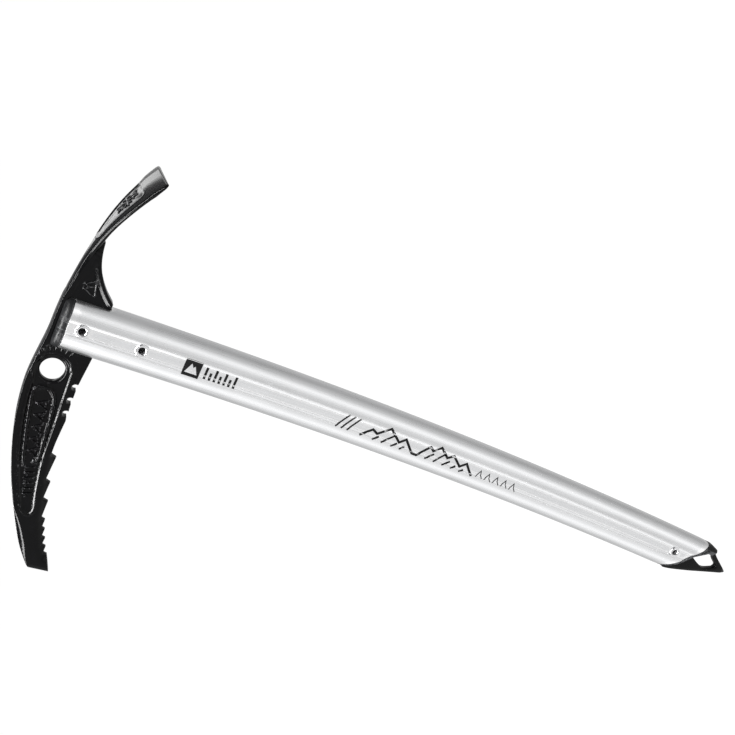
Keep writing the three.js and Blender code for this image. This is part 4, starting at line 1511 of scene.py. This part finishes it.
def rivet_steel():
    material, tree, shader = new_material("bright rivet steel", Metallic=1.0)
    grain = use_group(tree, GRAIN, Scale=1800.0, Mottle_Scale=400.0)
    scratch = use_group(tree, SCRATCHES, Amount=0.6, Scale=700.0)["Mask"]
    base = mix_colours(tree, grain["Mottle"], (0.62, 0.62, 0.63), (0.92, 0.92, 0.93))
    tree.links.new(base, shader.inputs["Base Color"])
    gloss = weighted(tree, (grain["Mottle"], 0.2), (scratch, 0.2))
    tree.links.new(math_node(tree, "ADD", gloss, 0.06), shader.inputs["Roughness"])
    bump(tree, shader, grain["Height"], 0.00003)
    return material


# A dark grey, not metal, for the bore's wall: painted shade, standing for the little light that reaches into
# the bore.
def painted_bore_shade():
    material, tree, shader = new_material("rivet bore painted shade", Specular_IOR_Level=0.5)
    grain = use_group(tree, GRAIN, Scale=1800.0, Mottle_Scale=300.0)
    base = mix_colours(tree, grain["Mottle"], (0.03, 0.03, 0.031), (0.12, 0.12, 0.124))
    tree.links.new(base, shader.inputs["Base Color"])
    tree.links.new(math_node(tree, "ADD", grain["Mottle"], 0.15), shader.inputs["Roughness"])
    bump(tree, shader, grain["Height"], 0.00005)
    return material


def tube_ink():
    material, tree, shader = new_material("black ink", Specular_IOR_Level=0.12)
    lines = use_group(tree, DRAWING_LINES, Scale=1500.0, Stretch=0.012)
    grain = use_group(tree, GRAIN, Scale=2200.0, Mottle_Scale=300.0)
    base = mix_colours(tree, lines["Lines"], (0.0015, 0.0015, 0.0015), (0.006, 0.006, 0.0063))
    tree.links.new(base, shader.inputs["Base Color"])
    tree.links.new(weighted(tree, (grain["Mottle"], 0.4), (lines["Lines"], 0.4)), shader.inputs["Roughness"])
    bump(tree, shader, lines["Height"], 0.00002)
    return material


MOULDING = grey_moulding()
RIVET_METAL = rivet_steel()
BORE_PAINTED_SHADE = painted_bore_shade()
INK = tube_ink()
print("materials so far:", len(bpy.data.materials))

# %% [markdown]
# ## Dress the pieces
# Each piece gets its material, rides on the frame's one body and stands for its CAD node, which is
# hidden. A rivet has two materials: faces that lie on the bore's wall take the dark one, painted shade.

# %% Dress and attach
BORE_MARGIN = 0.12  # faces this close outside the bore still count as its wall
BORE_WALL_HALF = 9.2  # the wall ends this far from the middle, where the lip begins


def dress(piece, material, slot, *nodes):
    piece.data.materials.clear()
    piece.data.materials.append(material)
    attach(piece, "root")
    if nodes:
        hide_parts(*nodes)


dress(head, FORGING_BLACK, "black_forging", "forged_head")
dress(tube, TUBE_METAL, "shaft_aluminium", "shaft_tube")
dress(packing_left, MOULDING, "grey_moulding", "tang_packing_left")
dress(packing_right, MOULDING, "grey_moulding", "tang_packing_right")
dress(spike, SPIKE_BLACK, "black_spike", "spike")
dress(plug, MOULDING, "grey_moulding", "spike_plug")
for printed in (printed_badge, printed_ridge):
    dress(printed, INK, "shaft_aluminium")
for node, rivet in rivets.items():
    dress(rivet, RIVET_METAL, "rivet_steel", node)
    rivet.data.materials.append(BORE_PAINTED_SHADE)
    z = {"head_rivet_upper": UPPER_RIVET_Z, "head_rivet_lower": LOWER_RIVET_Z}.get(node, SPIKE_RIVET_Z)
    middle = in_frame([[float(shaft_x(z)), 0, z]])[0]
    # Faces on the bore's wall take the second, dark material: painted shade.
    for face in rivet.data.polygons:
        out = math.hypot(face.center.x - middle[0], face.center.z - middle[2])
        in_bore = out < (BORE + BORE_MARGIN) * MM and abs(face.center.y) < BORE_WALL_HALF * MM
        face.material_index = 1 if in_bore else 0

# %% [markdown]
# ## Camera
# The axe stands on its spike, and the camera looks at it from the adze side and a little above, rolled
# so that the shaft runs across the picture. It is described as one would set it up in a studio: the
# point it aims at, the distance, the turn round the object, the height, and the roll.

# %% Camera
AIM = Vector((AXIS_X + 0.03038, 0, 0.34263))
CAMERA_DISTANCE = 0.6129
CAMERA_AZIMUTH = 15.11
CAMERA_ELEVATION = 23.25
CAMERA_ROLL = -71.20
LENS = 48.75

azimuth, elevation = math.radians(CAMERA_AZIMUTH), math.radians(CAMERA_ELEVATION)
back = Vector((
    math.sin(azimuth) * math.cos(elevation), -math.cos(azimuth) * math.cos(elevation),
    math.sin(elevation),
))
camera = bpy.data.objects.new("camera", bpy.data.cameras.new("camera"))
camera.data.lens = LENS
camera.data.sensor_width = 36
camera.data.clip_start = 0.01
camera.data.clip_end = 200
level = (-back).to_track_quat("-Z", "Y").to_matrix()
turned = level @ Matrix.Rotation(math.radians(CAMERA_ROLL), 3, "Z")
camera.matrix_world = Matrix.Translation(AIM + back * CAMERA_DISTANCE) @ turned.to_4x4()
bpy.context.scene.collection.objects.link(camera)
bpy.context.scene.camera = camera
print("camera at", [round(v, 4) for v in camera.matrix_world.translation])
print("camera axes", [[round(v, 4) for v in row] for row in camera.matrix_world.to_3x3()])

# %% [markdown]
# ## Floor
# The set is a wide pale floor under a soft sky. The tube stands upright and the camera looks a little
# down on it, so what it mirrors is mostly the floor round its foot. A studio would lay white and grey
# boards there. Here the floor glows by heading: brighter and darker sectors fan out from under the
# foot, and each becomes a long soft band down the tube. To the camera itself the floor is plain white,
# which the Light Path node arranges. The floor's own colour is dark, so that the lamps don't wash the
# sectors out.

# %% Floor
FLOOR_WHITE = 1.0  # the floor's own glow, as the camera sees it
GLOW_CENTRE = (AXIS_X - 0.026, 0.0)  # under the shaft's foot
# brightness of the floor's reflectors by heading, in degrees from the front towards the adze side
GLOW = [
    (-180, 0.55), (-125, 0.46), (-95, 0.5), (-70, 0.74), (-50, 1.25), (-38, 0.84), (-28, 0.62), (-20, 0.76),
    (-12, 0.8), (-2, 0.53), (6, 0.6), (17, 0.95), (27, 1.3), (38, 0.85), (56, 0.56), (95, 0.36), (180, 0.55),
]
FAR_GLOW = 0.55  # the least brightness of the far floor, which only the shaft's top can see
FAR_GLOW_RUN = (1.2, 4.0)  # it comes in between these distances
FLOOR_RINGS, FLOOR_SIDES, FLOOR_RADIUS = 24, 64, 60.0


def build_floor():
    """A round floor, with small faces under the axe and large ones far away."""
    work = bmesh.new()
    hub = work.verts.new((0, 0, 0))
    last = None
    for r in range(1, FLOOR_RINGS + 1):
        radius = FLOOR_RADIUS * (r / FLOOR_RINGS) ** 3
        ring = [work.verts.new((radius * math.cos(a), radius * math.sin(a), 0))
                for a in np.linspace(0, 2 * math.pi, FLOOR_SIDES, endpoint=False)]
        for k in range(FLOOR_SIDES):
            after = (k + 1) % FLOOR_SIDES
            if last is None:
                work.faces.new((hub, ring[k], ring[after]))
            else:
                work.faces.new((last[k], ring[k], ring[after], last[after]))
        last = ring
    mesh = bpy.data.meshes.new("floor")
    work.to_mesh(mesh)
    work.free()
    floor = bpy.data.objects.new("floor", mesh)
    bpy.context.scene.collection.objects.link(floor)
    return floor

def floor_material():
    material, tree, shader = new_material("pale floor", Roughness=0.9, Specular_IOR_Level=0.0)
    grain = use_group(tree, GRAIN, Scale=300.0, Mottle_Scale=3.0)
    tree.links.new(mix_colours(tree, grain["Mottle"], (0.025, 0.025, 0.025), (0.03, 0.03, 0.03)),
                   shader.inputs["Base Color"])
    place_vector = add(tree, "ShaderNodeTexCoord").outputs["Object"]
    place = add(tree, "ShaderNodeSeparateXYZ", Vector=place_vector)
    from_foot = math_node(tree, "SUBTRACT", place.outputs["X"], GLOW_CENTRE[0])
    forward = math_node(tree, "SUBTRACT", GLOW_CENTRE[1], place.outputs["Y"])
    heading = math_node(tree, "ARCTAN2", from_foot, forward)
    turn = math_node(tree, "ADD", math_node(tree, "DIVIDE", heading, 2 * math.pi), 0.5)
    ramp = tree.nodes.new("ShaderNodeValToRGB")
    ramp.color_ramp.interpolation = "EASE"
    stops = ramp.color_ramp.elements
    while len(stops) < len(GLOW):
        stops.new(0.5)
    for stop, (degrees, level) in zip(stops, GLOW):
        stop.position = degrees / 360 + 0.5
        stop.color = (level, level, level, 1)
    tree.links.new(turn, ramp.inputs["Fac"])
    seen = add(tree, "ShaderNodeLightPath").outputs["Is Camera Ray"]
    reach = add(tree, "ShaderNodeVectorMath", {"operation": "LENGTH"}, i0=place_vector).outputs["Value"]
    far = smooth_range(tree, reach, *FAR_GLOW_RUN, 0.0, FAR_GLOW)
    level = math_node(tree, "MAXIMUM", ramp.outputs["Color"], far)
    glow = mix_colours(tree, seen, level, (FLOOR_WHITE, FLOOR_WHITE, FLOOR_WHITE))
    tree.links.new(glow, shader.inputs["Emission Color"])
    shader.inputs["Emission Strength"].default_value = 1.0
    return material


floor = build_floor()
floor.data.materials.append(floor_material())
print("floor:", len(floor.data.polygons), "faces; glow stops:", len(GLOW))

# %% [markdown]
# ## Sky
# The sky is a dim grey that darkens overhead, since gloss black would turn grey under a bright one. An
# image of a real studio could light the set too, but a plain gradient says exactly what is reflected.
# Like the floor, it is white to the camera.

# %% Sky
SKY_LOW, SKY_HIGH = (0.34, 0.34, 0.34), (0.2, 0.2, 0.205)
SKY_SEEN = (1.02, 1.02, 1.02)  # the sky as the camera sees it
SKY_TURN = 0.7  # how high, from 0 to 1, the sky has reached its upper grey

world = bpy.data.worlds.new("soft sky")
bpy.context.scene.world = world
world.use_nodes = True
sky = world.node_tree
view = add(sky, "ShaderNodeSeparateXYZ", Vector=add(sky, "ShaderNodeTexCoord").outputs["Generated"])
height_share = smooth_range(sky, view.outputs["Z"], 0.0, SKY_TURN)
sky_colour = mix_colours(sky, height_share, SKY_LOW, SKY_HIGH)
sky_seen = add(sky, "ShaderNodeLightPath").outputs["Is Camera Ray"]
sky_mix = mix_colours(sky, sky_seen, sky_colour, SKY_SEEN)
sky.links.new(sky_mix, sky.nodes["Background"].inputs["Color"])
print("sky nodes:", len(sky.nodes))

# %% [markdown]
# ## Softboxes
# Gloss black shows nothing but reflections, so each lamp is there for one part of the head. A broad,
# faint one behind and low gives the adze's face its slow change from light to dark. A narrow, bright
# strip high in front draws the fine lines along the panel's wall, the loop and the web's bead. A small
# one to the left finds the spine, and one behind on the left does so for whoever looks from there. A
# lamp is set by its brightness per area, so making it larger doesn't change how bright it looks in a
# reflection. The softboxes are hidden from the camera but not from the reflections.

# %% Softboxes


def softbox(name, where, towards, width, height, radiance):
    """A rectangular light of a given brightness per area, facing a point."""
    data = bpy.data.lights.new(name, "AREA")
    data.shape = "RECTANGLE"
    data.size, data.size_y = width, height
    data.energy = radiance * width * height * math.pi
    light = bpy.data.objects.new(name, data)
    light.location = where
    light.rotation_euler = (Vector(towards) - Vector(where)).to_track_quat("-Z", "Y").to_euler()
    light.visible_camera = False
    bpy.context.scene.collection.objects.link(light)
    return light


HEAD_AT = (AXIS_X, 0, TUBE_TOP * MM)
softbox("back softbox", (0.36, 1.5, 0.91), HEAD_AT, 1.2, 0.3, 2.1)
softbox("high strip", (-0.3, -0.7, 1.65), HEAD_AT, 2.4, 0.2, 75.0)
softbox("rear left strip", (-1.1, 0.85, 1.25), HEAD_AT, 0.5, 0.5, 25.0)
softbox("left strip", (-1.1, -0.95, 0.98), HEAD_AT, 0.35, 0.5, 40.0)
bpy.context.scene.view_settings.view_transform = "Standard"
